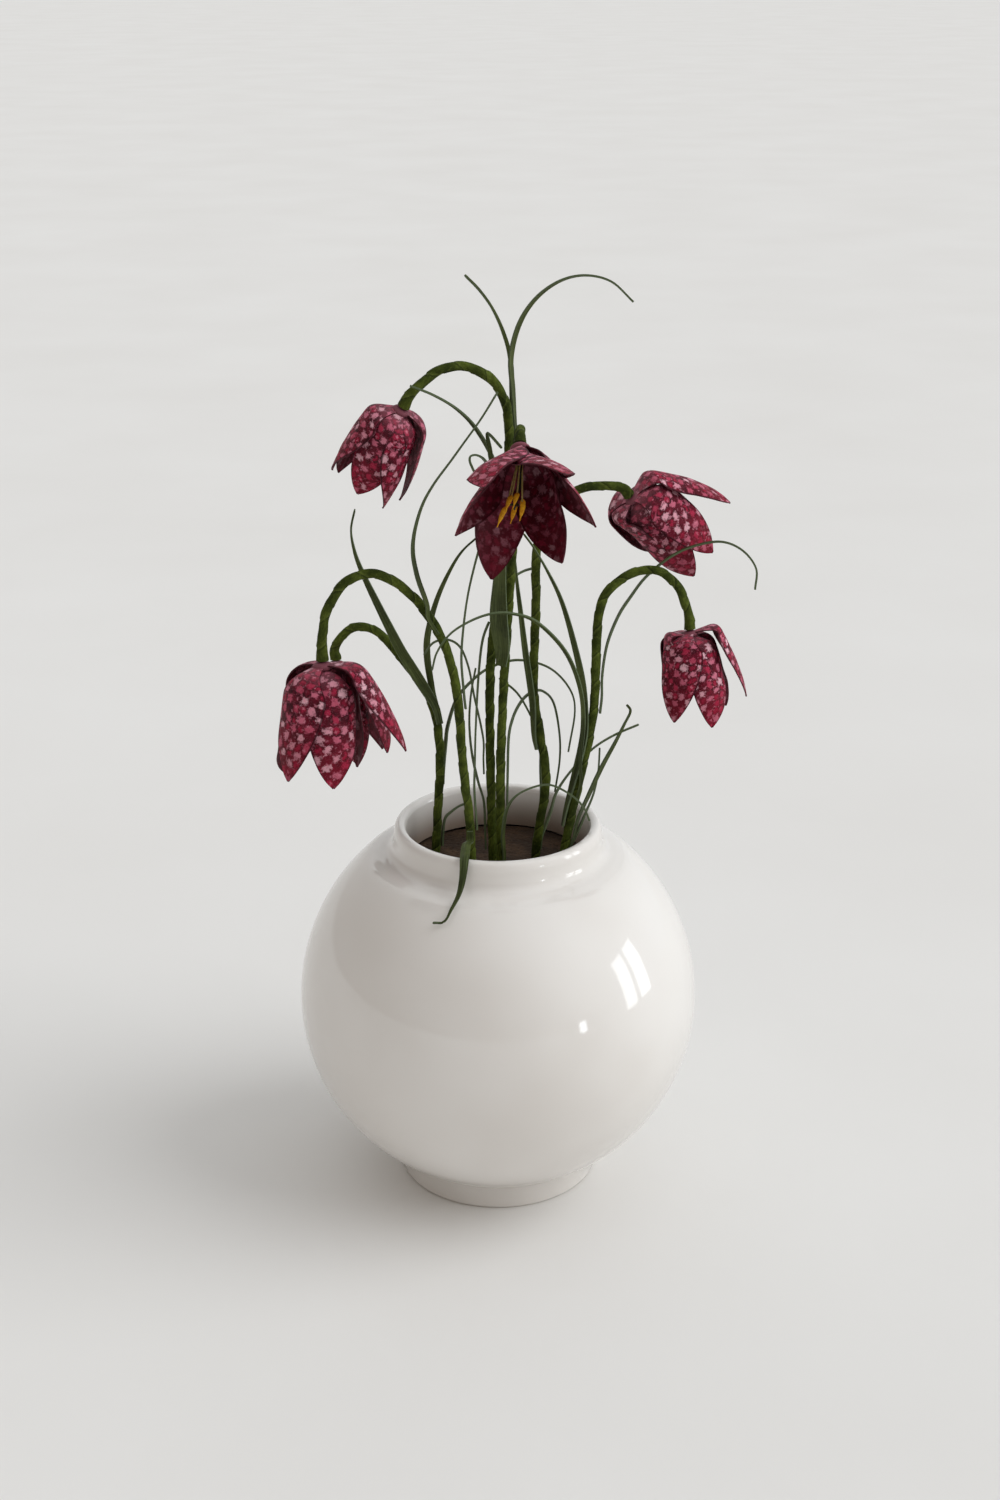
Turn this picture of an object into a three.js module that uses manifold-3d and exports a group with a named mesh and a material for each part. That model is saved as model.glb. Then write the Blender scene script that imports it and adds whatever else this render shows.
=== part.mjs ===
import * as THREE from 'three';
import { mergeVertices } from 'three/addons/utils/BufferGeometryUtils.js';
import Module from 'manifold-3d';

const wasm = await Module();
wasm.setup();

// Millimetres, +Z up, +Y away from the viewer, origin under the middle of the vase

// Vase: a near sphere on a low foot, with a short neck
const vaseHeight = 119.5;
const bodyRadius = 62.5;
const bodyMiddle = 60.5;
const bodyDrop = 61;
const footRadius = 31.7;
const shoulderZ = 106.5;
const neckRadius = 32.2;
const mouthRadius = 28.2;
const innerRadius = 58.7;
const innerRise = 52;
const innerDrop = 54.5;
const vaseSides = 32;

// Filling that holds the stems
const fillTop = 106;
const fillGap = 0.3;
const stemDepth = 40;
const holeRadius = 1.9;

// Crepe-wrapped stems
const wrapRadius = 1.35;
const topRadius = 1.8;
const stemSides = 6;

// Card petals and paper leaves
const seat = 0.3;
const leafGap = 0.45;
const leafThickness = 0.62;
const leafTipWidth = 0.7;
const petalLength = 39.5;
const petalWidth = 18;
const petalThickness = 0.7;
const layerStep = 1.5;
const layerShift = 0.06;
const bendPlace = 0.25;
const bendReach = 0.06;
const cupRadius = 12.5;
const crownSlope = 12;
const sideSlope = 82;
const tipCurl = 14;
const crownRadius = 3;
const crownHeight = 3.1;

// Stamens round a pistil
const stamenCount = 6;
const filamentRadius = 0.4;
const antherRadius = 0.9;
const pistilLength = 18;

const colours = {
  vase: 0xeae7e2,
  filling: 0x33241a,
  stem: 0x566329,
  leaf: 0x46512f,
  petal: 0x8c2a40,
  stamen: 0xd9a21c,
};

// Stems: the bloom that each carries, and its route up from the filling
const stems = {
  stem_1: {
    bloom: 'bloom_1',
    route: [[-1.4, -4.5, fillTop], [-2, -4.5, 131], [-2.3, -4.5, 154], [-1.9, -5, 174], [-0.1, -5, 192],
      [2.3, -6, 217], [3.4, -7, 237.5], [3.1, -8, 248], [0.3, -9, 256], [-4.5, -10, 260.3],
      [-10, -12, 262.4], [-15.5, -14, 261.8], [-20, -15.6, 259]],
  },
  stem_2: {
    bloom: 'bloom_2',
    route: [[1, -8.6, fillTop], [0.8, -8.6, 131], [1.2, -8.8, 151], [2.2, -9.5, 174], [3.6, -10.5, 197],
      [4.9, -12, 219], [6, -13.6, 233], [6.6, -17, 243], [6.6, -21, 246.6]],
  },
  stem_3: {
    bloom: 'bloom_3',
    route: [[11.6, 2, fillTop], [12.9, 2, 117], [14.7, 3, 128.5], [14.6, 3, 136.5], [12.7, 5, 148],
      [11.1, 6, 159], [11.2, 8, 173.6], [11.6, 9, 188], [11.8, 9.5, 203], [14.6, 10, 213.5],
      [19.4, 10.6, 218.7], [25, 11.6, 221.4], [30.7, 12.6, 222]],
  },
  stem_4: {
    bloom: 'bloom_4',
    route: [[-7.6, -15, fillTop], [-8.4, -16, 126.7], [-9.5, -17, 137.5], [-10.4, -18, 148.5],
      [-11.2, -19, 162.4], [-12.3, -20, 172.4], [-15, -21, 183.4], [-19.5, -22, 192.8], [-25, -23, 200],
      [-31.3, -25, 205.3], [-36.8, -26, 206.6], [-42, -27.6, 205], [-46, -29, 200.6], [-48.6, -30, 194.6]],
  },
  stem_5: {
    bloom: 'bloom_5',
    route: [[19, -8, fillTop], [21.5, -8, 120], [23.8, -7, 131.4], [26.4, -6, 143.7], [27.8, -6, 150.8],
      [29, -5, 161], [29.3, -4, 175.8], [29.7, -3, 185], [31, -2, 191], [33.6, -1, 194.8],
      [37.3, 0, 197.5], [42.1, 1, 199.3], [47, 1.4, 199.2], [51, 2, 196.8], [54.6, 2.6, 192]],
  },
  stem_6: {
    bloom: 'bloom_6',
    route: [[-19.4, 6, fillTop], [-18.6, 7, 120.4], [-17.8, 9, 134], [-18.2, 11, 144.2], [-19.9, 13, 152],
      [-22.3, 15, 157], [-26, 17, 161.8], [-30.7, 20, 167], [-34.8, 23, 171], [-39, 26, 173.2],
      [-43.4, 28, 173.2], [-47.3, 29.4, 171]],
  },
};

// Blooms: the neck, the way the bell hangs, its size, the place of its first petal round the bell, the
// half length of the bend over its shoulder as a share of a petal, and how far the stamens lean. Each
// petal has its tip's swing sideways, how far it stands open, the slope that it leaves the neck at, the
// layer that it lies in, from 0 outside to 1 inside, and how much its lower half curls in. Angles are in
// degrees, and what a petal doesn't give is the usual value
const blooms = {
  bloom_1: {
    neck: [-26, -17, 252], hang: [-0.47, 0.22, -0.85], size: 0.82, first: -15, fold: 0.12,
    petals: [[17, 5, 10], [-32, 2, 18], [-19, -14, 20, 0.5], [35, -1, 24, 0], [0, 0, 14, 1], [0, 0]],
  },
  bloom_2: {
    neck: [6.4, -31, 244.5], hang: [0.02, -0.78, -0.62], size: 0.95, first: 5, fold: 0.12,
    lean: [-2.2, -0.6],
    petals: [[13, 23, 40], [2, 41, 44], [-9, 39, 44, 0, 30], [-25, 22, 40], [3, 26, 26], [26, 5, 22]],
  },
  bloom_3: {
    neck: [39.5, 15, 218.4], hang: [0.65, 0.33, -0.68], size: 0.88, first: 28, fold: 0.08,
    petals: [[14, 3, 8], [8, -1, 14], [8, -14, -6, 0.5], [0, -4, -2, 0], [0, 0, 4, 1], [22, 20, -4, 0]],
  },
  bloom_4: {
    neck: [-49.6, -30, 182], hang: [0.01, -0.07, -0.99], size: 0.97, first: 5, fold: 0.14,
    petals: [[0, 23, -4], [8, -3, 12], [12, 5, 14, 0.2], [26, 11, 26], [9, 11, 6], [26, -2, -8]],
  },
  bloom_5: {
    neck: [57.6, 3, 180.3], hang: [0.1, -0.12, -0.98], size: 0.79, first: -4, fold: 0.08,
    petals: [[14, 14, -14], [17, 8, 10], [13, 6, 12], [10, -2, -14, 0.6], [-3, -6, 4], [24, 10, -4]],
  },
  bloom_6: {
    neck: [-50.8, 30, 161.5], hang: [0.06, -0.12, -0.99], size: 0.9, first: 4, fold: 0.12,
    petals: [[20, 11, 16], [-12, -3], [10, 14], [2, 18], [0, 6], [18, 12, 16]],
  },
};

// Leaves: the stem and height that each foot is tied at, the way its face looks at the foot, halfway
// and at the tip (0 right, 90 away from the viewer), its width, and its route past the foot
const leaves = {
  leaf_top_left: {
    on: 'stem_1', at: 236, face: [60, 90, 160], width: 1.7,
    route: [[4.8, -4, 244], [4.4, -3.5, 252.5], [3.9, -3, 262.3], [1.9, -2.5, 269.8], [-1.1, -2, 276.4],
      [-4.8, -1, 281.5], [-8.9, 0, 285.5]],
  },
  leaf_top_right: {
    on: 'stem_1', at: 235, face: [0, -60, 0], width: 1.8,
    route: [[5.2, -6, 243.6], [4.5, -5.6, 254.3], [4, -5.5, 263.6], [6.4, -5.5, 273], [11, -6, 280],
      [17.6, -7, 285], [24.5, -8, 286.6], [31.6, -9.5, 285], [37.7, -11, 279.8]],
  },
  leaf_over_arch: {
    on: 'stem_1', at: 222, face: [180, 240, 200], width: 1.5,
    route: [[-1.4, -9, 236], [-6, -12, 245], [-11.2, -15, 251], [-17.6, -18, 255.6], [-23.8, -20, 258.6]],
  },
  leaf_loop_left: {
    on: 'stem_4', at: 188, face: [-90, -30, 0], width: 1.4,
    route: [[-19.9, -24, 197], [-22.6, -24, 205.6], [-23.6, -24, 214.4], [-21.5, -23, 224],
      [-17.6, -22, 231.4], [-11.7, -20, 239], [-5, -18, 248], [0.3, -16, 256]],
  },
  leaf_folded: {
    on: 'stem_1', at: 226, face: [255, 270, 200], width: 1.6,
    route: [[-1.2, -11, 235], [-2.1, -11.5, 239.4], [-2.7, -12, 243.2], [-1.7, -13, 243], [1.4, -12, 239.2]],
  },
  leaf_small_curl: {
    on: 'stem_1', at: 214, face: [220, 200, 180], width: 1.4,
    route: [[-2.3, -16, 233.9], [-3.6, -18, 237.4], [-5.6, -20, 239.1], [-7.2, -22, 239.3],
      [-7.5, -23, 238.2], [-6.6, -25, 236.4], [-5.2, -27, 234.1]],
  },
  leaf_thin_dark: {
    on: 'stem_4', at: 163, face: [20, 0, -30], width: 1.5,
    route: [[-10.5, -17, 177.8], [-9.7, -16, 188], [-8.4, -15, 197], [-6.6, -15, 205], [-4.6, -14, 212],
      [-3.2, -13, 217]],
  },
  leaf_back_left: {
    on: 'stem_6', at: 149, face: [60, 90, 90], width: 2.2,
    route: [[-20.4, 17.4, 157.2], [-21.6, 17, 167.3], [-21.3, 18, 174.4], [-19, 19.5, 183.2],
      [-15.7, 21, 191], [-11.4, 22, 198.4], [-6.8, 23, 202.8], [-4, 24, 204.4]],
  },
  leaf_broad_front: {
    on: 'stem_2', at: 174, face: [-120, -90, -90], width: 5.4,
    route: [[0.5, -15, 189.3], [0.5, -16.5, 197.4], [1.1, -18, 208], [2.2, -18.5, 218.6], [3.3, -18, 228.6]],
  },
  leaf_dark_right: {
    on: 'stem_3', at: 142, face: [210, 270, 270], width: 2.2,
    route: [[10.5, 2, 158.4], [8.6, 1, 172.2], [7, -1, 186.3], [5.8, -2, 196.8], [4.9, -3, 207.5],
      [4.1, -4, 217]],
  },
  leaf_broad_right: {
    on: 'stem_5', at: 121, face: [190, 260, 270], width: 2.7,
    route: [[22.7, -7.4, 135], [25.1, -7.5, 145.7], [26.1, -6.5, 154.5], [25.2, -5, 166.7],
      [22.4, -3.5, 179.4], [18.8, -1, 191], [14.7, 1, 199.3], [10.8, 3, 205.7], [7.6, 5, 209.7]],
  },
  leaf_front_arch: {
    on: 'stem_5', at: 131, face: [278, 240, 180], width: 1.3,
    route: [[24.8, -10, 143.7], [25.5, -10.5, 156.7], [24.1, -11.5, 168], [19.5, -14, 179.8],
      [11.2, -18, 189.7], [4, -21, 193.2], [-2, -23, 193.7], [-8, -24.5, 192], [-13.4, -26.5, 189],
      [-17.1, -28, 184], [-18.6, -28, 178.6]],
  },
  leaf_low_arch: {
    on: 'stem_1', at: 137, face: [180, 180, 180], width: 1.2,
    route: [[-4.3, -5, 149], [-6.7, -6, 161.4], [-8.4, -8, 172.2], [-10.9, -10, 179.4],
      [-14.7, -12, 182.4], [-18.7, -13, 181.7], [-21.4, -14, 178.3]],
  },
  leaf_broad_left: {
    on: 'stem_6', at: 147, face: [-60, -90, -90], width: 3.4,
    route: [[-21.5, 11.4, 157.3], [-25.2, 13, 163], [-29.4, 14.8, 169.6], [-33, 15.5, 177], [-37, 15, 186],
      [-40.5, 14.5, 194.3], [-42.7, 14, 201], [-43.7, 14, 208], [-42.4, 14.5, 214.5]],
  },
  leaf_right_arch: {
    on: 'stem_5', at: 157, face: [10, 0, 0], width: 1.8,
    route: [[31.2, -3.5, 168.4], [32.6, -2, 177.6], [35.9, 1, 185.4], [39.8, 4, 190.6], [44.5, 6, 196.2],
      [51.6, 7, 202], [58.9, 7, 205.3], [66.3, 5, 207], [72.4, 3.5, 204.7], [76.6, 2, 199.6],
      [76.2, 1, 193.4]],
  },
  leaf_low_right: {
    on: 'stem_5', at: 112, face: [0, -60, -60], width: 1.8,
    route: [[24.6, -7, 123.5], [28, -5.5, 131.2], [31.7, -3.5, 139], [35.4, -2.5, 146], [38.2, -2, 152],
      [40, -1.5, 156], [38.9, -1, 158]],
  },
  leaf_back_right: {
    on: 'stem_3', at: 108.5, face: [50, 0, 0], width: 1.3,
    route: [[16.4, 9, 118.6], [18.4, 13, 123.6], [23.4, 17, 129.6], [29.9, 20, 135.4], [36.3, 22, 139],
      [44.4, 23, 142.4]],
  },
  leaf_rim_right: {
    on: 'stem_5', at: 107.5, face: [45, 0, 0], width: 1.4,
    route: [[24.4, -2, 116.5], [27, 0, 122], [29.6, 2, 128], [30.9, 3.5, 134.3], [31.2, 3, 142.4]],
  },
  leaf_mid_arch: {
    on: 'stem_2', at: 128, face: [10, -20, 0], width: 2.2,
    route: [[3.3, -6, 148], [4.6, -1, 153.6], [7, 4, 157], [10, 9, 158.2], [13.7, 13, 157.4],
      [17.4, 15, 152.6], [19.2, 16.5, 142], [19.4, 17, 133], [18, 17, 122]],
  },
  leaf_rim_arch: {
    on: 'stem_2', at: 108, face: [-60, -20, 0], width: 1.4,
    route: [[1.6, -13, 120.5], [2.8, -13, 129], [6.8, -12.5, 134], [14.9, -12, 136.5], [22, -12.5, 133.4],
      [26, -11.5, 128.7], [27.8, -10, 123.8]],
  },
  leaf_low_back: {
    on: 'stem_6', at: 108, face: [30, 0, 0], width: 1.7,
    route: [[-16.4, 8, 117], [-14.4, 9, 118.8], [-12, 10, 120.2], [-9.5, 11, 120.8]],
  },
  leaf_back_arch: {
    on: 'stem_6', at: 128, face: [60, 0, 0], width: 1.5,
    route: [[-16.2, 14, 139.4], [-15.5, 15.5, 145], [-12.9, 18, 152.5], [-8.5, 20, 157.6], [-2.3, 22, 161.8],
      [6.4, 24, 163.6], [16, 26, 160.4], [22.5, 27.5, 153], [24.4, 28, 144.8], [22.5, 28, 131.2]],
  },
  leaf_left_middle: {
    on: 'stem_4', at: 123, face: [20, 0, -40], width: 1.4,
    route: [[-7, -13, 135.4], [-6.7, -12, 146.3], [-6.3, -11.5, 159.6], [-5.4, -10.8, 172.3],
      [-4.2, -10, 181.7], [-2.4, -9.4, 187]],
  },
  leaf_left_inner: {
    on: 'stem_1', at: 112, face: [180, 200, 180], width: 1.6,
    route: [[-4.2, -4.2, 127.4], [-6, -4, 134.4], [-7.7, -3.5, 142.7], [-8.5, -2.5, 153], [-7.9, -2, 161.5],
      [-6.4, -1, 169.7]],
  },
  leaf_behind_middle: {
    on: 'stem_3', at: 109, face: [110, 180, 180], width: 1.3,
    route: [[13.5, 6.5, 123.5], [13.2, 9, 132.7], [12.8, 10.5, 143], [10, 12, 150], [6, 14, 156.3],
      [0.5, 16, 160.5]],
  },
  leaf_thin_middle: {
    on: 'stem_1', at: 184, face: [60, 0, 0], width: 1.2,
    route: [[1.6, -1, 194], [4, 3, 196], [7.7, 8, 197], [11.6, 14.5, 196.4]],
  },
  leaf_over_rim: {
    on: 'stem_4', at: 124, run: -3, reference: [1, 0, 0], face: [0, 0, 30], width: 2.9,
    route: [[-9.2, -21.6, 121.4], [-9.6, -27, 120.9], [-9.8, -31, 120.4], [-10, -33.4, 118.2],
      [-10.5, -34.4, 114.6], [-11.5, -36.4, 111.3], [-13.5, -40, 108.6], [-15.5, -42.5, 106],
      [-19, -42, 105.3]],
  },
};

const group = new THREE.Group();
const axisX = new THREE.Vector3(1, 0, 0);
const axisY = new THREE.Vector3(0, 1, 0);
const axisZ = new THREE.Vector3(0, 0, 1);

function addPiece(name, geometry, colour, roughness) {
  const material = new THREE.MeshStandardMaterial({ color: colour, roughness, metalness: 0 });
  const mesh = new THREE.Mesh(geometry, material);
  mesh.name = name;
  group.add(mesh);
}

function vec(point) {
  return new THREE.Vector3(...point);
}

function smooth(from, to, value) {
  return THREE.MathUtils.smoothstep(value, from, to);
}

function range(count) {
  return Array.from({ length: count }, (unused, i) => i);
}

// Closed skin through rings of equal length, the two faces of a thin ring split alike
function loft(rings) {
  const size = rings[0].length;
  const last = (rings.length - 1) * size;
  const points = rings.flat();
  const numbers = points.flatMap((point) => point.toArray());
  const index = [];
  for (let row = 0; row < last; row += size) {
    for (const k of range(size)) {
      const a = row + k;
      const b = row + ((k + 1) % size);
      if (k < size / 2) index.push(a, b, b + size, a, b + size, a + size);
      else index.push(a, b, a + size, b, b + size, a + size);
    }
  }
  for (const k of range(size / 2 - 1)) {
    const far = size - 1 - k;
    index.push(k + 1, k, far, far, far - 1, k + 1);
    index.push(last + k, last + k + 1, last + far, last + far - 1, last + far, last + k + 1);
  }
  let volume = 0;
  for (let i = 0; i < index.length; i += 3) {
    const [a, b, c] = [0, 1, 2].map((k) => points[index[i + k]]);
    volume += a.dot(new THREE.Vector3().crossVectors(b, c));
  }
  if (volume < 0) index.reverse();
  const geometry = new THREE.BufferGeometry();
  geometry.setAttribute('position', new THREE.Float32BufferAttribute(numbers, 3));
  return geometry.setIndex(index);
}

function toSolid(geometry) {
  const vertProperties = new Float32Array(geometry.attributes.position.array);
  const triVerts = new Uint32Array(geometry.index.array);
  return new wasm.Manifold(new wasm.Mesh({ numProp: 3, vertProperties, triVerts }));
}

function fromSolid(solid) {
  const mesh = solid.getMesh();
  const geometry = new THREE.BufferGeometry();
  geometry.setAttribute('position', new THREE.BufferAttribute(mesh.vertProperties, 3));
  return geometry.setIndex(new THREE.BufferAttribute(mesh.triVerts, 1));
}

function join(geometries) {
  return fromSolid(geometries.map(toSolid).reduce((whole, next) => whole.add(next)));
}

function smoothLine(points, steps) {
  return new THREE.CatmullRomCurve3(points, false, 'catmullrom', 0.5).getPoints(steps * (points.length - 1));
}

function headingsOf(line) {
  return line.map((point, i) => {
    const before = line[Math.max(i - 1, 0)];
    const after = line[Math.min(i + 1, line.length - 1)];
    return new THREE.Vector3().subVectors(after, before).normalize();
  });
}

// Round rod along a line, its section carried along without a twist
function rod(line, radii, sides, headings = headingsOf(line)) {
  const side = Math.abs(headings[0].x) < 0.9 ? axisX.clone() : axisY.clone();
  const rings = line.map((point, i) => {
    side.addScaledVector(headings[i], -side.dot(headings[i])).normalize();
    const other = new THREE.Vector3().crossVectors(headings[i], side);
    return range(sides).map((k) => {
      const angle = (2 * Math.PI * k) / sides;
      const out = side.clone().multiplyScalar(Math.cos(angle)).addScaledVector(other, Math.sin(angle));
      return point.clone().addScaledVector(out, radii[i]);
    });
  });
  return loft(rings);
}

// Part of an ellipse about the vase's axis, from one angle above the belly to another
function bodyArc(radius, rise, from, to, steps) {
  return range(steps + 1).map((i) => {
    const angle = THREE.MathUtils.lerp(from, to, i / steps);
    return [radius * Math.cos(angle), bodyMiddle + rise * Math.sin(angle)];
  });
}

function turned(profile, sides) {
  const points = profile.map(([r, z]) => new THREE.Vector2(r, z));
  const geometry = new THREE.LatheGeometry(points, sides);
  return geometry.rotateX(Math.PI / 2);
}

function makeVase() {
  const footAngle = -Math.acos(footRadius / bodyRadius);
  const shoulderAngle = Math.asin((shoulderZ - bodyMiddle) / bodyRadius);
  const mouthAngle = Math.acos(mouthRadius / innerRadius);
  const profile = [
    [0, 0],
    [footRadius - 1, 0],
    [footRadius, 1],
    ...bodyArc(bodyRadius, bodyDrop, footAngle, 0, 5),
    ...bodyArc(bodyRadius, bodyRadius, 0, shoulderAngle, 4).slice(1),
    [38.4, 107.9],
    [34.2, 108.9],
    [neckRadius, 111],
    [neckRadius - 0.2, vaseHeight - 2.2],
    [neckRadius - 0.9, vaseHeight - 0.5],
    [neckRadius - 2, vaseHeight],
    [mouthRadius + 0.7, vaseHeight - 0.4],
    [mouthRadius, vaseHeight - 1.6],
    ...bodyArc(innerRadius, innerRise, mouthAngle, 0, 3),
    ...bodyArc(innerRadius, innerDrop, 0, -Math.PI / 2, 4).slice(1, -1),
    [0, bodyMiddle - innerDrop],
  ];
  return turned(profile, vaseSides);
}

function bloomFrame({ neck, hang }) {
  const down = vec(hang).normalize();
  const right = axisX.clone().addScaledVector(down, -down.x).normalize();
  const front = new THREE.Vector3().crossVectors(down, right);
  return new THREE.Matrix4().makeBasis(right, front, down).setPosition(vec(neck));
}

// Centre line of a stem: upright in the filling, along its route, then square on to the bloom's neck
function stemLine({ bloom, route }) {
  const { neck, hang } = blooms[bloom];
  const down = vec(hang).normalize();
  const beforeNeck = [4, seat].map((gap) => vec(neck).addScaledVector(down, -gap));
  const line = smoothLine([...route.map(vec), ...beforeNeck], 2);
  line.unshift(vec(route[0]).setZ(fillTop - stemDepth));
  const headings = headingsOf(line);
  headings[0] = axisZ;
  headings[1] = axisZ;
  headings[line.length - 1] = down;
  return { line, headings };
}

const stemLines = Object.fromEntries(Object.entries(stems).map(([name, stem]) => [name, stemLine(stem)]));

function makeStem({ line, headings }) {
  const radii = line.map((point, i) => {
    const left = (line.length - 1 - i) / 3;
    return THREE.MathUtils.lerp(topRadius, wrapRadius, Math.min(left, 1));
  });
  return rod(line, radii, stemSides, headings);
}

// The hollow of the vase less a small gap, with a plain hole for each stem
function makeFilling() {
  const mouthAngle = Math.acos(mouthRadius / innerRadius);
  const hollow = [
    [0, bodyMiddle - innerDrop + fillGap],
    ...bodyArc(innerRadius - fillGap, innerDrop - fillGap, -Math.PI / 2, 0, 4).slice(1),
    ...bodyArc(innerRadius - fillGap, innerRise - fillGap, 0, mouthAngle, 3).slice(1, -1),
    [mouthRadius - fillGap, fillTop],
    [0, fillTop],
  ];
  const geometry = turned(hollow, vaseSides);
  geometry.deleteAttribute('normal');
  geometry.deleteAttribute('uv');
  const holes = Object.values(stems).map(({ route }) => {
    const [x, y] = route[0];
    const depths = [fillTop - stemDepth - seat, fillTop + 1];
    const line = depths.map((z) => new THREE.Vector3(x, y, z));
    return toSolid(rod(line, [holeRadius, holeRadius], stemSides, [axisZ, axisZ]));
  });
  return fromSolid(holes.reduce((rest, hole) => rest.subtract(hole), toSolid(mergeVertices(geometry))));
}

// Point of a stem and its heading at a height, on the way up
function stemAt({ line, headings }, height) {
  const i = line.findIndex((point, k) => k > 0 && point.z >= height);
  const part = (height - line[i - 1].z) / (line[i].z - line[i - 1].z);
  return {
    point: line[i - 1].clone().lerp(line[i], part),
    heading: headings[i - 1].clone().lerp(headings[i], part).normalize(),
  };
}

// Face normal of a blade that runs along a heading, turned by an angle about it
function facing(heading, reference, degrees) {
  const away = reference.clone().addScaledVector(heading, -heading.dot(reference)).normalize();
  const right = new THREE.Vector3().crossVectors(away, heading);
  const angle = THREE.MathUtils.degToRad(degrees);
  return right.multiplyScalar(Math.cos(angle)).addScaledVector(away, Math.sin(angle));
}

// Share of the full width along a leaf, from its foot to its drawn-out tip
function leafTaper(t) {
  const foot = 0.62 + 0.38 * smooth(0, 0.3, t);
  const middle = 1 - 0.45 * smooth(0.3, 0.75, t);
  const tip = 1 - 0.8 * smooth(0.6, 1, t);
  return foot * middle * tip;
}

// Long narrow blade tied to its stem, wide ones with a crease down the middle
function makeLeaf({ on, at, run = 5, face, width, route, reference = [0, 1, 0] }) {
  const away = vec(reference);
  const lift = wrapRadius + leafGap + leafThickness / 2;
  const feet = [at, at + run].map((height) => {
    const { point, heading } = stemAt(stemLines[on], height);
    return point.addScaledVector(facing(heading, away, face[0]), lift);
  });
  const line = smoothLine([...feet, ...route.map(vec)], 2);
  const headings = headingsOf(line);
  const crease = width > 2 ? 0.16 * width : 0;
  const columns = crease ? 2 : 1;
  const columnsAcross = range(columns + 1);
  const rings = line.map((point, i) => {
    const t = i / (line.length - 1);
    const half = Math.min(Math.floor(2 * t), 1);
    const angle = THREE.MathUtils.lerp(face[half], face[half + 1], 2 * t - half);
    const normal = facing(headings[i], away, angle);
    const across = new THREE.Vector3().crossVectors(headings[i], normal);
    const side = Math.max(width * leafTaper(t), leafTipWidth) / 2;
    const fold = crease * smooth(0, 0.2, t) * leafTaper(t);
    const corner = (j, skin) => {
      const place = (2 * j) / columns - 1;
      return point.clone()
        .addScaledVector(across, side * place)
        .addScaledVector(normal, fold * (Math.abs(place) - 0.5) + (skin * leafThickness) / 2);
    };
    const outer = columnsAcross.map((j) => corner(j, 1));
    const inner = columnsAcross.map((j) => corner(j, -1));
    return [...outer, ...inner.reverse()];
  });
  return loft(rings);
}

// Half width of a petal along its length: a narrow claw, full shoulders and a point
function petalHalfWidth(t) {
  const shoulder = 0.22 + 0.78 * smooth(0, 0.38, t);
  const point = (1 - Math.max((t - 0.4) / 0.6, 0) ** 2) ** 0.8;
  return Math.max((petalWidth / 2) * shoulder * point, petalThickness / 2);
}

// Petal in the bell's own frame: out from the neck, over the shoulder, and down to the mouth
function makePetal(place, [swing, open, slope = crownSlope, layer, curl = tipCurl], fold) {
  const bendMiddle = bendPlace - layer * layerShift;
  const columns = 4;
  const steps = 100;
  const stations = [0, bendMiddle - bendReach, bendMiddle + bendReach, 0.5, 0.78, 1];
  const bend = sideSlope - slope - open;
  const slopeAt = (t) => {
    const side = bend * smooth(bendMiddle - fold, bendMiddle + fold, t);
    return THREE.MathUtils.degToRad(slope + side + curl * smooth(0.4, 1, t));
  };
  const middle = [[0.8, 0.9 + layer * layerStep]];
  for (const i of range(steps)) {
    const angle = slopeAt((i + 0.5) / steps);
    const [r, z] = middle[i];
    middle.push([r + (petalLength / steps) * Math.cos(angle), z + (petalLength / steps) * Math.sin(angle)]);
  }
  const rings = stations.map((t) => {
    const [r, z] = middle[Math.round(t * steps)];
    const tilt = slopeAt(t);
    const half = petalHalfWidth(t);
    const cup = cupRadius - 2 * layer * layerStep + (cupRadius / 2) * smooth(0.5, 1, t);
    const spin = new THREE.Matrix4().makeRotationZ(THREE.MathUtils.degToRad(place + swing * t * t));
    const point = (j, skin) => {
      const angle = (half / cup) * ((2 * j) / columns - 1);
      const depth = cup * (Math.cos(angle) - 1) + (skin * petalThickness / 2) * Math.cos(angle);
      const sideways = (cup + (skin * petalThickness) / 2) * Math.sin(angle);
      const out = new THREE.Vector3(r + depth * Math.sin(tilt), sideways, z - depth * Math.cos(tilt));
      return out.applyMatrix4(spin);
    };
    const outer = range(columns + 1).map((j) => point(j, 1));
    const inner = range(columns + 1).map((j) => point(j, -1));
    return [...outer, ...inner.reverse()];
  });
  return loft(rings);
}

// Six card petals in two layers, joined in a small crown at the neck
function makePetals({ first, petals, fold }) {
  const crownRings = [[0, 0.75], [0.6, 1], [crownHeight - 0.5, 1], [crownHeight, 0.8]];
  const crownLine = crownRings.map(([z]) => new THREE.Vector3(0, 0, z));
  const crownRadii = crownRings.map(([, share]) => crownRadius * share);
  const crown = rod(crownLine, crownRadii, 8);
  const cards = petals.map(([swing, open, slope, layer, curl], i) => {
    return makePetal(first + 60 * i, [swing, open, slope, layer ?? i % 2, curl], fold);
  });
  return join([crown, ...cards]);
}

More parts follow.
